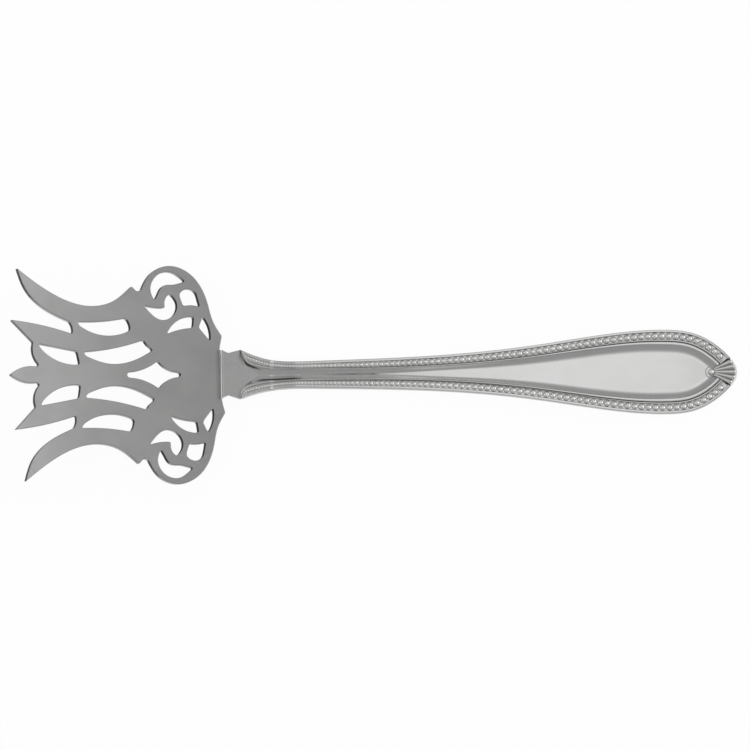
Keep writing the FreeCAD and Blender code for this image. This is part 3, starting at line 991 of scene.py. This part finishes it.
@dataclass
class StruckHandle:
    """The handle's body: the tongue, the smooth channel and panel, and the borders without beads."""

    form: HandleForm
    station_step: float = 0.24
    corner_steps: int = 3
    cove_steps: int = 10
    cove_power: Point = (1.15, 2.3)
    cove_power_run: Point = (34.0, 52.0)
    # Painted shade over the cove, darkest at the ridge's foot.
    cove_shade: float = 0.12
    panel_steps: int = 8
    # Painted shadow lines along the ridge's foot inside the leaf, a different stretch on each side.
    leaf_line: dict[Side, Point] = field(default_factory=lambda: {Side.LEFT: (4.5, 9.5), Side.RIGHT: (9.5, 17.5)})
    leaf_line_width: float = 0.55
    # A dark line along the trough where the coves meet: dirt in the crease and painted shade, which also damps its
    # highlight.
    trough_line: Point = (26.0, 34.0)
    trough_dirt_and_shade: float = 0.8
    # Painted shade on the handle's and the tongue's side walls.
    side_shade: float = 0.45
    # The tongue and the panel's start are darker, fading out between 7 and 12 mm along.
    tongue_dimming: float = 0.32
    tongue_dimming_run: Point = (7.0, 12.0)
    leaf_fade: float = 2.0
    trough_fade: float = 6.0
    trough_share: Point = (0.7, 1.0)
    line_end: Point = (2.0, 1.0)
    fillet_share: float = 0.45
    border_from: float = 0.2
    leaf_lift: float = 1.3
    tongue_edge: Point = (0.12, 0.05)
    tongue_step: float = 0.3
    chamfer_inset: float = 0.1
    chamfer_gap: float = 0.05
    lean_run: Point = (0.0, 1.5)
    end_chamfer: float = 0.30
    chamfer_run: float = 0.42

    def corners(self, x: float) -> list[Corner]:
        """The section's corners at x, from the back's corner over the rim to the ridge's foot.

        Args:
            x: The place along the handle.

        Returns:
            The corners.
        """
        form = self.form
        top, channel, floor = form.top(x), form.channel(x), form.floor(x)
        rim = form.between(form.rim, x)
        beads = rim + 2 * (form.bead_radius(x) + form.bead_room)
        ridge = form.ridge_width(x)
        groove = min(0.30, 0.6 * (top - channel) + 0.06)
        # Each corner's last number is painted shade: the side walls, the rim's inner foot, the bead channel and,
        # darkest, the groove beside the ridge.
        return [
            Corner(0.50, 0.0, 0.30, 0.0),
            Corner(0.0, form.edge_height, 0.50, self.side_shade),
            Corner(0.05, top - 0.14, 0.14, self.side_shade),
            Corner(rim * 0.22, top - 0.04, 0.12, 0.0),
            Corner(rim * 0.90, top, 0.07, 0.0),
            Corner(rim, channel, 0.07, 0.20),
            Corner(beads, channel, 0.07, 0.35),
            Corner(beads + 0.06, top - 0.12, 0.05, 0.0),
            Corner(beads + ridge * 0.20, top - 0.12, 0.05, 0.0),
            Corner(beads + ridge * 0.33, top - groove, 0.06, 0.95),
            Corner(beads + ridge * 0.47, top, 0.10, 0.0),
            Corner(beads + ridge * 0.86, top, 0.12, 0.0),
            Corner(beads + ridge, floor + (top - floor) * 0.78, 0.08, 0.10),
        ]

    def along_line(self, start: float, end: float, fade: float, x: float) -> float:
        """How strong a dark line is at x; the lines are the leaf's painted shadow and the trough's dirt and
        painted shade.

        Args:
            start: Where the line has its full strength.
            end: About where it stops.
            fade: How long before the start it sets in.
            x: The place along the handle.

        Returns:
            0 off the line to 1 on it.
        """
        before, past = self.line_end
        return smoothstep(start - fade, start, x) * (1 - smoothstep(end - before, end + past, x))

    def section(self, x: float, side: Side, room: float = OPEN_ROOM) -> list[tuple[float, float, float]]:
        """Insets, heights and darkening across one side's border and cove: painted shade, with dirt in the trough.

        Args:
            x: The station.
            side: The side of the middle line, as the painted shadow line inside the leaf differs.
            room: Distance from the outline to the middle line, which the cove stays short of.

        Returns:
            The points from the back's corner inwards.
        """
        form = self.form
        corners = self.corners(x)
        last = corners[-1]
        cove = form.cove_width(x, room - last.inset)
        floor = form.floor(x)
        start, end = self.leaf_line[side]
        leaf_shade = self.along_line(start, end, self.leaf_fade, x)
        line_width = min(1.0, self.leaf_line_width / cove)
        start, end = self.trough_line
        trough = self.trough_dirt_and_shade * self.along_line(start, end, self.trough_fade, x)
        narrow, wide = self.cove_power
        power = narrow + (wide - narrow) * smoothstep(*self.cove_power_run, x)
        points = [(corners[0].inset + corners[0].fillet, 0.0, 0.0)]
        places = [(corner.inset, corner.height) for corner in corners]
        places = [points[0][:2]] + places + [(last.inset + cove * 0.5, floor)]
        for index, corner in enumerate(corners):
            before, here, after = (np.array(places[index + k]) for k in (0, 1, 2))
            start, end = before - here, after - here
            shorter = min(np.linalg.norm(start), np.linalg.norm(end))
            cut = min(corner.fillet, self.fillet_share * shorter)
            start, end = here + start / np.linalg.norm(start) * cut, here + end / np.linalg.norm(end) * cut
            for step in range(self.corner_steps + 1):
                t = step / self.corner_steps
                place = (1 - t) ** 2 * start + 2 * t * (1 - t) * here + t ** 2 * end
                points.append((float(place[0]), float(place[1]), corner.tarnish_and_shade))
        drop = points[-1][1] - floor
        from_inset = points[-1][0]
        run = last.inset + cove - from_inset
        for step in range(1, self.cove_steps + 1):
            t = step / self.cove_steps
            # Painted shade down the cove: the leaf's shadow line, a light shade from the ridge, and the trough's
            # line of dirt and shade.
            line = leaf_shade * max(0.0, 1 - (t / line_width) ** 4)
            shade = max(self.cove_shade * (1 - t), line, trough * smoothstep(*self.trough_share, t))
            points.append((from_inset + run * t, floor + drop * (1 - t) ** power, shade))
        return points

    def border_row(self, place: np.ndarray, inward: np.ndarray, leaf: float,
                   side: Side) -> list[tuple[float, float, float, float]]:
        """One station's points from the back's edge to the middle: x, y, height and tarnish.

        Args:
            place: The outline's point.
            inward: The unit normal into the handle.
            leaf: How much of its width the border has here.
            side: The side of the middle line.

        Returns:
            The points, as if y were positive on that side.
        """
        form = self.form
        x = float(place[0])
        floor = form.floor(x)
        rows = []
        room = OPEN_ROOM if inward[1] > -0.01 else -float(place[1] / inward[1])
        for inset, height, tarnish_and_shade in self.section(x, side, room):
            there = place + inward * inset * leaf
            if there[1] < 0:
                there = place - inward * place[1] / inward[1]
            level = height
            if height > form.edge_height + self.border_from:
                level = form.floor(float(there[0])) + (height - floor) * min(1.0, leaf * self.leaf_lift)
            rows.append((float(there[0]), max(0.0, float(there[1])), level, tarnish_and_shade))
        edge_x, edge_y = rows[-1][:2]
        floor = form.floor(edge_x)
        for step in range(1, self.panel_steps + 1):
            y = edge_y * (1 - step / self.panel_steps)
            crown = (edge_y ** 2 - y ** 2) * form.crown(x)
            dimming = self.tongue_dimming * (1 - smoothstep(*self.tongue_dimming_run, x))
            rows.append((edge_x, y, floor + crown, dimming))
        return rows

    def tongue_row(self, x: float, y: float, low: float, drop: float) -> list[tuple[float, float, float, float]]:
        """One station of the flat tongue, with as many points as a border's row.

        Args:
            x: The station.
            y: Half of the tongue's width there.
            low: Thickness of the plate under it.
            drop: How far its top is cut down.

        Returns:
            The points on the side where y is positive.
        """
        count = len(self.section(self.form.shoulder[0], Side.LEFT))
        high = self.form.plate + self.form.tongue - drop
        side = count // 2
        wall = high - self.tongue_edge[1] - low
        # Painted shade on the tongue's side wall.
        rows = [(x, y, low + wall * index / side, self.side_shade) for index in range(side)]
        dimming = 0.0 if drop else self.tongue_dimming
        rows += [(x, y - self.tongue_edge[0] * (index + 1) / (count - side), high, dimming)
                 for index in range(count - side)]
        start = rows[-1][1]
        rows += [(x, start * (1 - step / self.panel_steps), high, dimming) for step in range(1, self.panel_steps + 1)]
        return rows

    def stations(self, side: Side) -> list[tuple[float, list[tuple[float, float, float, float]], float]]:
        """Every station of a side: its x on the back, its row of points and the back's height there.

        Args:
            side: The side of the middle line.

        Returns:
            The stations, from the tongue's end to the tip.
        """
        form = self.form
        tongue = [form.end_corner, form.waist, form.shoulder]
        found = []
        for first, second in zip(tongue, tongue[1:]):
            count = math.ceil((second[0] - first[0]) / self.tongue_step)
            for step in range(count):
                t = step / count
                found.append((first[0] + (second[0] - first[0]) * t, first[1] + (second[1] - first[1]) * t))
        half = form.end_corner[1]
        xs = [(0.0, half, self.end_chamfer), (self.chamfer_run, half - self.chamfer_inset, 0.0)]
        xs += [(x, y, 0.0) for x, y in found if x > self.chamfer_run + self.chamfer_gap]
        stations = []
        for x, y, drop in xs:
            lean = (form.tongue * 0.5) * math.sin(form.pitch) * (1 - smoothstep(*self.lean_run, x))
            stations.append((x + lean, self.tongue_row(x + lean, y, form.plate, drop), form.plate))
        count = math.ceil(form.outline.length / self.station_step)
        for step in range(count + 1):
            distance = form.outline.length * step / count
            place, heading = form.outline.at(distance)
            inward = form.inward(distance, heading)
            low = form.plate if place[0] < form.stub_end else 0.0
            row = self.border_row(place, inward, form.leaf(distance), side)
            stations.append((float(place[0]), row, low))
        return stations

    def build(self, setting: Setting, finish: bpy.types.Material, fan: "FlutedFan") -> bpy.types.Object:
        """Makes the body and sets it on the seam.

        Args:
            setting: Where the seam is.
            finish: The handle's material.
            fan: The fan at the end, which the body makes room for.

        Returns:
            The piece.
        """
        form = self.form
        points: list[Vector] = []
        tarnish_and_shade: list[float] = []
        faces: list[tuple[int, ...]] = []
        for side in Side:
            rings = []
            for back_x, row, low in self.stations(side):
                ring = []
                edge_y = row[0][1]
                for share in (0.0, 0.5):
                    ring.append(len(points))
                    points.append(setting.from_handle(form.set_at(back_x, side.value * edge_y * share, low)))
                    tarnish_and_shade.append(0.0)
                for x, y, height, dark in row:
                    ring.append(len(points))
                    level = max(low, height if not fan.holds(x, y) else min(height, fan.seat))
                    points.append(setting.from_handle(form.set_at(x, side.value * y, level)))
                    tarnish_and_shade.append(dark)
                rings.append(ring)
            for first, second in zip(rings, rings[1:]):
                for index in range(len(first) - 1):
                    faces.append((first[index], second[index], second[index + 1], first[index + 1]))
            faces.append(tuple(reversed(rings[0])))
        mesh = mesh_of("handle_body", points, faces, tarnish_and_shade)
        piece = finished("handle_body", mesh, finish, BODY_SHARP_DEG)
        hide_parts(HANDLE_NODE)
        return piece


@dataclass
class FlutedFan:
    """The fan of five flutes at the handle's tip, and the boss that they spring from."""

    form: HandleForm
    length: float = 6.35
    half_angle_deg: float = 31.0
    flutes: int = 5
    steps_per_flute: int = 12
    rings: int = 26
    root: float = 1.25
    root_round: float = 0.5
    valley_depth: float = 0.50
    end_round: float = 0.80
    scallop: float = 0.015
    boss_ahead: float = 0.75
    boss_radius: float = 0.62
    boss_height: float = 0.30
    collar_radius: float = 1.20
    collar_wire: float = 0.09
    crest: float = 0.06
    overhang: float = 0.03
    foot: float = 0.3
    # Painted shade in the flutes' valleys, towards their outer ends.
    valley_shade: float = 0.40
    seat_share: float = 0.8
    side_gap: float = 0.05
    root_gap: float = 0.1
    valley_run: Point = (-0.2, 0.8)
    valley_shade_run: Point = (0.35, 0.95)
    boss_sides: int = 28
    boss_rings: int = 8
    boss_base: float = 0.75
    boss_foot: float = 0.6
    # Painted shade round the boss's foot.
    boss_shade: float = 0.35
    collar_steps: int = 36
    wire_steps: int = 10
    collar_start_deg: float = 85.0
    collar_turn_deg: float = 190.0
    collar_lift: float = 0.08
    collar_tall: float = 1.8

    @property
    def heart(self) -> float:
        """Where the flutes spring from, along the handle."""
        return self.form.length - self.length

    def holds(self, x: float, y: float) -> bool:
        """Whether a point of the plan is inside the fan."""
        inside = y < (x - self.heart) * math.tan(math.radians(self.half_angle_deg)) - self.side_gap
        return inside and math.hypot(x - self.heart, y) > self.root + self.root_gap

    @property
    def seat(self) -> float:
        """Thickness that the body keeps under the fan."""
        return self.form.edge_height * self.seat_share

    def reach(self, angle: float) -> float:
        """Distance from the heart to the outline, at an angle.

        Args:
            angle: Radians from the middle line.

        Returns:
            The distance.
        """
        curve = self.form.outline
        low, high = 0.0, curve.length
        for _ in range(REACH_STEPS):
            middle = (low + high) / 2
            point = curve.at(middle)[0]
            if math.atan2(point[1], point[0] - self.heart) > abs(angle):
                low = middle
            else:
                high = middle
        point = curve.at(low)[0]
        return math.hypot(point[0] - self.heart, point[1])

    def build_flutes(self, setting: Setting, finish: bpy.types.Material) -> bpy.types.Object:
        """Makes the flutes as one closed piece.

        Args:
            setting: Where the seam is.
            finish: The piece's material.

        Returns:
            The piece.
        """
        form = self.form
        spread = math.radians(self.half_angle_deg)
        columns = self.flutes * self.steps_per_flute
        points: list[Vector] = []
        tarnish_and_shade: list[float] = []
        for column in range(columns + 1):
            angle = -spread + 2 * spread * column / columns
            phase = (column / self.steps_per_flute) % 1.0
            valley = 1 - math.sqrt(max(0.0, 1 - (2 * phase - 1) ** 2))
            far = self.reach(angle) * (1 - self.scallop * valley) + self.overhang
            for ring in range(self.rings + 1):
                share = ring / self.rings
                radius = self.root + (far - self.root) * share
                x, y = self.heart + radius * math.cos(angle), radius * math.sin(angle)
                depth = self.valley_depth * smoothstep(*self.valley_run, share)
                left = max(0.0, 1 - (far - radius) / self.end_round)
                brow = self.end_round * (1 - math.sqrt(max(0.0, 1 - left ** 2)))
                near = max(0.0, 1 - (radius - self.root) / self.root_round)
                brow += self.root_round * (1 - math.sqrt(max(0.0, 1 - near ** 2)))
                height = form.top(x) + self.crest - depth * valley - brow
                points.append(setting.from_handle(form.set_at(x, y, height)))
                # Painted shade in the valleys.
                tarnish_and_shade.append(self.valley_shade * valley ** 2 * smoothstep(*self.valley_shade_run, share))
            for radius in (far, self.root):
                x, y = self.heart + radius * math.cos(angle), radius * math.sin(angle)
                points.append(setting.from_handle(form.set_at(x, y, self.foot)))
                tarnish_and_shade.append(0.0)
        mesh = mesh_of("fan_flutes", points, tube_faces(columns, self.rings + 3), tarnish_and_shade)
        return finished("fan_flutes", mesh, finish, SMALL_SHARP_DEG)

    def build_boss(self, setting: Setting, finish: bpy.types.Material) -> bpy.types.Object:
        """Makes the round boss just ahead of the heart.

        Args:
            setting: Where the seam is.
            finish: The piece's material.

        Returns:
            The piece.
        """
        form = self.form
        points: list[Vector] = []
        tarnish_and_shade: list[float] = []
        sides, rings = self.boss_sides, self.boss_rings
        middle = self.heart + self.boss_ahead
        base = form.floor(middle) + form.border_height * self.boss_base
        for ring in range(rings + 1):
            lift = math.pi / 2 * ring / rings
            for index in range(sides):
                angle = math.tau * index / sides
                radius = self.boss_radius * math.cos(lift) + 1e-4
                x, y = middle + radius * math.cos(angle), radius * math.sin(angle)
                height = base + self.boss_height * math.sin(lift) if ring else form.floor(middle) * self.boss_foot
                points.append(setting.from_handle(form.set_at(x, y, height)))
                # Painted shade on the boss's lowest rings.
                tarnish_and_shade.append(self.boss_shade if ring < 2 else 0.0)
        open_top = tube_faces(rings, sides)[:-1]
        mesh = mesh_of("fan_boss", points, open_top, tarnish_and_shade, 1e-3)
        return finished("fan_boss", mesh, finish, SMALL_SHARP_DEG)

    def build_collar(self, setting: Setting, finish: bpy.types.Material) -> bpy.types.Object:
        """Makes the thin ridge that joins both borders' ridges round the boss.

        Args:
            setting: Where the seam is.
            finish: The piece's material.

        Returns:
            The piece.
        """
        form = self.form
        points: list[Vector] = []
        arc_steps, wire_steps = self.collar_steps, self.wire_steps
        start, turn = math.radians(self.collar_start_deg), math.radians(self.collar_turn_deg)
        middle = self.heart + self.boss_ahead
        for step in range(arc_steps + 1):
            angle = start + turn * step / arc_steps
            for index in range(wire_steps):
                around = math.tau * index / wire_steps
                radius = self.collar_radius + self.collar_wire * math.cos(around)
                rise = self.collar_wire * self.collar_tall * math.sin(around)
                height = form.floor(middle) + self.collar_lift + rise
                x, y = middle + radius * math.cos(angle), radius * math.sin(angle)
                points.append(setting.from_handle(form.set_at(x, y, height)))
        mesh = mesh_of("fan_collar", points, tube_faces(arc_steps, wire_steps), [0.0] * len(points))
        return finished("fan_collar", mesh, finish, SMALL_SHARP_DEG)


@dataclass
class BeadRows:
    """The rows of beads in both borders, set by geometry nodes."""

    form: HandleForm
    first_distance: float = 0.85
    search_step: float = 0.02
    flatness: float = 0.72
    sink: float = 0.10
    cap_cut: float = -0.25
    # Painted shade on each bead, darker from its middle down to its foot.
    ring_shade: tuple[float, float, float, float] = (0.15, 0.68, 0.95, 0.0)
    fan_room: float = 1.35
    wobble: float = 0.05
    seed: int = 7
    segments: int = 16
    rings: int = 9

    def places(self, fan: FlutedFan) -> list[tuple[float, float, float]]:
        """Every bead of the side where y is positive: x, y and radius.

        Args:
            fan: The fan, which the row stops at.

        Returns:
            The beads, from the shoulder on.
        """
        form = self.form
        found: list[tuple[float, float, float]] = []
        distance = self.first_distance
        while distance < form.outline.length:
            place, heading = form.outline.at(distance)
            leaf = form.leaf(distance)
            radius = form.bead_radius(place[0]) * leaf
            inset = (form.between(form.rim, place[0]) + form.bead_room) * leaf + radius
            x, y = place + form.inward(distance, heading) * inset
            if fan.holds(x, y - radius * self.fan_room):
                break
            if not found or math.dist((x, y), found[-1][:2]) >= (radius + found[-1][2]) / form.bead_share:
                found.append((float(x), float(y), float(radius)))
            distance += self.search_step
        return found

    def tree(self, finish: bpy.types.Material) -> bpy.types.NodeTree:
        """The geometry nodes that set a bead on every point, by the point's own radius.

        Args:
            finish: The beads' material.

        Returns:
            The node tree.
        """
        tree = bpy.data.node_groups.new("bead_row", "GeometryNodeTree")
        sockets = [("Geometry", "NodeSocketGeometry"), ("Flatness", "NodeSocketFloat"),
                   ("Sink", "NodeSocketFloat"), ("Wobble", "NodeSocketFloat")]
        for name, kind in sockets:
            tree.interface.new_socket(name, in_out="INPUT", socket_type=kind)
        tree.interface.new_socket("Geometry", in_out="OUTPUT", socket_type="NodeSocketGeometry")
        bench = Bench(tree)
        given = bench.node("NodeGroupInput").outputs
        points = bench.node("GeometryNodeMeshToPoints", None, {"Mesh": given["Geometry"]})
        ball = bench.node("GeometryNodeMeshUVSphere", None, {
            "Segments": self.segments, "Rings": self.rings * 2, "Radius": 1.0})
        height = Value(bench, bench.node("ShaderNodeSeparateXYZ", None, {
            0: bench.node("GeometryNodeInputPosition").outputs[0]}).outputs["Z"])
        under = bench.node("FunctionNodeCompare", {"operation": "LESS_THAN"}, {"A": height, "B": self.cap_cut})
        cap = bench.node("GeometryNodeDeleteGeometry", {"domain": "POINT"}, {
            "Geometry": ball.outputs["Mesh"], "Selection": under.outputs[0]})
        # Painted shade: darker towards the bead's foot.
        dark = bench.node("GeometryNodeStoreNamedAttribute", {"data_type": "FLOAT", "domain": "POINT"}, {
            "Geometry": cap.outputs[0], "Name": "tarnish_and_shade", "Value": height.mapped(*self.ring_shade)})
        radius = bench.value("GeometryNodeInputNamedAttribute", "Attribute", {"data_type": "FLOAT"},
                             {"Name": "bead_radius"})
        chance = bench.value("FunctionNodeRandomValue", "Value", {"data_type": "FLOAT"}, {
            "Min": -1.0, "Max": 1.0, "Seed": self.seed})
        size = radius * (1.0 + Value(bench, given["Wobble"]) * chance)
        scale = bench.node("ShaderNodeCombineXYZ", None, {
            "X": size, "Y": size, "Z": size * Value(bench, given["Flatness"])})
        beads = bench.node("GeometryNodeInstanceOnPoints", None, {
            "Points": points.outputs[0], "Instance": dark.outputs[0], "Scale": scale.outputs[0]})
        down = bench.node("ShaderNodeCombineXYZ", None, {"Z": Value(bench, given["Sink"]) * -1.0})
        seated = bench.node("GeometryNodeTranslateInstances", {}, {
            "Instances": beads.outputs[0], "Translation": down.outputs[0], "Local Space": False})
        real = bench.node("GeometryNodeRealizeInstances", None, {"Geometry": seated.outputs[0]})
        smooth = bench.node("GeometryNodeSetShadeSmooth", None, {"Geometry": real.outputs[0]})
        dressed = bench.node("GeometryNodeSetMaterial", None, {"Geometry": smooth.outputs[0], "Material": finish})
        bench.node("NodeGroupOutput", None, {0: dressed.outputs[0]})
        return tree

    def build(self, setting: Setting, finish: bpy.types.Material, fan: FlutedFan) -> bpy.types.Object:
        """Sets both rows of beads and makes them one plain mesh.

        Args:
            setting: Where the seam is.
            finish: The beads' material.
            fan: The fan, which the rows stop at.

        Returns:
            The piece.
        """
        form = self.form
        points, radii = [], []
        for side in Side:
            for x, y, radius in self.places(fan):
                points.append(setting.from_handle(form.set_at(x, side.value * y, form.channel(x))) * MM)
                radii.append(radius * MM)
        mesh = bpy.data.meshes.new("bead_places")
        mesh.from_pydata(points, [], [])
        mesh.attributes.new("bead_radius", "FLOAT", "POINT").data.foreach_set("value", radii)
        holder = bpy.data.objects.new("bead_places", mesh)
        bpy.context.scene.collection.objects.link(holder)
        tree = self.tree(finish)
        modifier = holder.modifiers.new("beads", "NODES")
        modifier.node_group = tree
        sizes = {"Flatness": self.flatness, "Sink": self.sink * MM, "Wobble": self.wobble}
        for item in tree.interface.items_tree:
            if item.name in sizes:
                modifier[item.identifier] = sizes[item.name]
        made = bpy.data.meshes.new_from_object(holder.evaluated_get(bpy.context.evaluated_depsgraph_get()))
        holder.modifiers.clear()
        bpy.data.objects.remove(holder)
        log.info("beads: %d", len(points))
        return finished("border_beads", made, finish)


@dataclass
class SolderLine:
    """The thin, uneven fillet of solder where the tongue's end meets the head."""

    form: HandleForm
    width: float = 0.22
    height: float = 0.16
    unevenness: float = 0.35
    waves: tuple[Point, Point] = ((2.7, 1.1), (6.1, 0.4))
    corner_fill: float = 0.8
    corner_reach: float = 0.9
    tuck: Point = (0.25, -0.12)
    round_points: int = 6
    # A dark solder joint at the fillet's foot with painted shadow there, cleaner up the fillet; painted shade
    # behind the tongue's end.
    foot_stain_and_shade: float = 0.60
    lift_clears: float = 0.5
    tucked_stain_and_shade: float = 0.2
    step: float = 0.12

    def build(self, setting: Setting, finish: bpy.types.Material) -> bpy.types.Object:
        """Makes the fillet along the tongue's end.

        Args:
            setting: Where the seam is.
            finish: The solder's material.

        Returns:
            The piece.
        """
        half = self.form.end_corner[1]
        count = math.ceil(2 * half / self.step)
        points: list[Vector] = []
        tarnish_and_shade: list[float] = []
        ring = self.round_points
        (slow, lag), (fast, lead) = self.waves
        behind, under = self.tuck
        for index in range(count + 1):
            y = -half + 2 * half * index / count
            uneven = 1 + self.unevenness * math.sin(y * slow + lag) * math.sin(y * fast + lead)
            uneven += self.corner_fill * smoothstep(half - self.corner_reach, half, abs(y))
            for step in range(ring):
                turn = math.pi / 2 * step / (ring - 1)
                out = self.width * uneven * (1 - math.sin(turn))
                lift = self.height * uneven * (1 - math.cos(turn))
                points.append(setting.from_head(Vector((-out, y, lift))))
                # Dark joint and painted shadow at the foot, fading as the fillet rises.
                tarnish_and_shade.append(self.foot_stain_and_shade - self.lift_clears * lift / self.height)
            for x, z in ((behind, lift), (behind, under), (-self.width * uneven, under)):
                points.append(setting.from_head(Vector((x, y, z))))
            tarnish_and_shade += [self.tucked_stain_and_shade, self.tucked_stain_and_shade, self.foot_stain_and_shade]
        mesh = mesh_of("seam_solder", points, tube_faces(count, ring + 3), tarnish_and_shade)
        return finished("seam_solder", mesh, finish, SMALL_SHARP_DEG)


# The studio


@dataclass(frozen=True)
class Softbox:
    """A soft lamp that faces the fork."""

    name: str
    place: tuple[float, float, float]
    size: tuple[float, float]
    radiance: float
    seen_in_metal: bool = True

    def light(self) -> None:
        """Hangs the lamp, with the power that gives its face the radiance."""
        lamp = bpy.data.lights.new(self.name, "AREA")
        lamp.shape = "RECTANGLE"
        lamp.size, lamp.size_y = self.size
        lamp.energy = self.radiance * math.pi * self.size[0] * self.size[1]
        holder = bpy.data.objects.new(self.name, lamp)
        holder.location = self.place
        away = Vector(self.place).normalized()
        along = Vector((0.0, 1.0, 0.0)).cross(away).normalized()
        holder.rotation_euler = Matrix((along, away.cross(along), away)).transposed().to_euler()
        holder.visible_camera = False
        holder.visible_glossy = self.seen_in_metal
        bpy.context.scene.collection.objects.link(holder)


@dataclass
class Studio:
    """The white floor, the soft light and the camera."""

    camera_distance_m: float = 1.5
    camera_tilt_deg: float = 7.0
    camera_roll_deg: float = 0.45
    camera_target_mm: tuple[float, float, float] = (-0.06, 0.55, 2.78)
    focal_px: float = 7000.0
    image_px: float = 750.0
    sensor_mm: float = 36.0
    floor_half_m: float = 6.0
    surround: float = 0.375
    floor_glow: float = 0.95
    lamps: tuple[Softbox, ...] = (
        Softbox("overhead", (0.25, 0.40, 2.2), (0.96, 1.4), 0.30),
        Softbox("overhead_edge", (0.26, 0.42, 2.3), (1.00, 2.3), 0.20),
        Softbox("overhead_rim", (0.27, 0.44, 2.4), (1.04, 4.1), 0.14),
        Softbox("left", (-2.0, 0.0, 1.45), (0.9, 1.3), 0.95),
        Softbox("right", (2.0, 0.3, 1.18), (0.84, 1.8), 2.0),
        Softbox("fill", (0.0, 0.0, 2.6), (3.0, 3.0), 1.15, False),
    )

    def seen_directly(self, bench: Bench) -> Value:
        """1 for rays from the camera or off polished metal, 0 for the rest.

        Args:
            bench: The tree that asks.

        Returns:
            The share.
        """
        path = bench.node("ShaderNodeLightPath").outputs
        seen = Value(bench, path["Is Camera Ray"]).larger(Value(bench, path["Is Glossy Ray"]))
        return seen.larger(Value(bench, path["Is Transmission Ray"]))

    def floor(self) -> None:
        """Lays the pale floor, which looks white and keeps a faint shadow."""
        half = self.floor_half_m
        mesh = bpy.data.meshes.new("floor")
        corners = [(-half, -half, 0), (half, -half, 0), (half, half, 0), (-half, half, 0)]
        mesh.from_pydata(corners, [], [(0, 1, 2, 3)])
        floor = bpy.data.objects.new("floor", mesh)
        bpy.context.scene.collection.objects.link(floor)
        material = bpy.data.materials.new("pale_floor")
        material.use_nodes = True
        bench = Bench(material.node_tree)
        matt = bench.node("ShaderNodeBsdfDiffuse", None, {"Color": grey(0.9)})
        white = bench.node("ShaderNodeEmission", None, {"Color": grey(1.0), "Strength": 1.0})
        mixed = bench.node("ShaderNodeMixShader", None, {
            0: self.seen_directly(bench) * self.floor_glow, 1: matt.outputs[0], 2: white.outputs[0]})
        bench.node("ShaderNodeOutputMaterial", None, {"Surface": mixed.outputs[0]})
        mesh.materials.append(material)

    def world(self) -> None:
        """Sets the room's light, and the white that the camera sees behind the floor."""
        world = bpy.data.worlds.new("studio")
        world.use_nodes = True
        bench = Bench(world.node_tree)
        path = bench.node("ShaderNodeLightPath").outputs
        level = Value(bench, path["Is Camera Ray"]).mapped(0.0, 1.0, self.surround, 1.0)
        light = bench.node("ShaderNodeBackground", None, {"Color": grey(1.0), "Strength": level})
        bench.node("ShaderNodeOutputWorld", None, {"Surface": light.outputs[0]})
        bpy.context.scene.world = world

    def camera(self) -> None:
        """Places the camera where the photograph was taken from."""
        tilt, roll = math.radians(self.camera_tilt_deg), math.radians(self.camera_roll_deg)
        towards = Vector((0.0, -math.sin(tilt), math.cos(tilt)))
        right = Matrix.Rotation(-roll, 3, towards) @ Vector((1.0, 0.0, 0.0))
        data = bpy.data.cameras.new("camera")
        data.sensor_width = self.sensor_mm
        data.lens = self.sensor_mm * self.focal_px / self.image_px
        data.clip_end = 50.0
        camera = bpy.data.objects.new("camera", data)
        turn = Matrix((right, towards.cross(right), towards)).transposed()
        place = Vector(self.camera_target_mm) * MM + towards * self.camera_distance_m
        camera.matrix_world = Matrix.Translation(place) @ turn.to_4x4()
        bpy.context.scene.collection.objects.link(camera)
        bpy.context.scene.camera = camera

    def build(self) -> None:
        """Sets up the floor, the light and the camera."""
        bpy.context.scene.view_settings.view_transform = "Standard"
        self.floor()
        self.world()
        self.camera()
        for lamp in self.lamps:
            lamp.light()


def main() -> None:
    """Builds the fork on its frame, and the studio around it."""
    logging.basicConfig(level=logging.INFO, format="%(name)s: %(message)s")
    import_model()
    form = HandleForm()
    low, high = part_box(HANDLE_NODE)
    seam = Vector((high.x / MM - form.length, (low.y + high.y) / (2 * MM), -form.lowest))
    head = PiercedHead()
    setting = Setting(seam, math.radians(head.pitch_deg), math.radians(head.yaw_deg))
    satin, struck = SATIN_SHEET.make(), STRUCK_POLISH.make()
    beads, solder = BEAD_POLISH_LIT.make(), SOLDER_GREY.make()
    head.build(setting, satin)
    fan = FlutedFan(form)
    StruckHandle(form).build(setting, struck, fan)
    fan.build_flutes(setting, struck)
    fan.build_boss(setting, beads)
    fan.build_collar(setting, struck)
    BeadRows(form).build(setting, beads, fan)
    SolderLine(form).build(setting, solder)
    Studio().build()


if __name__ == "__main__":
    main()
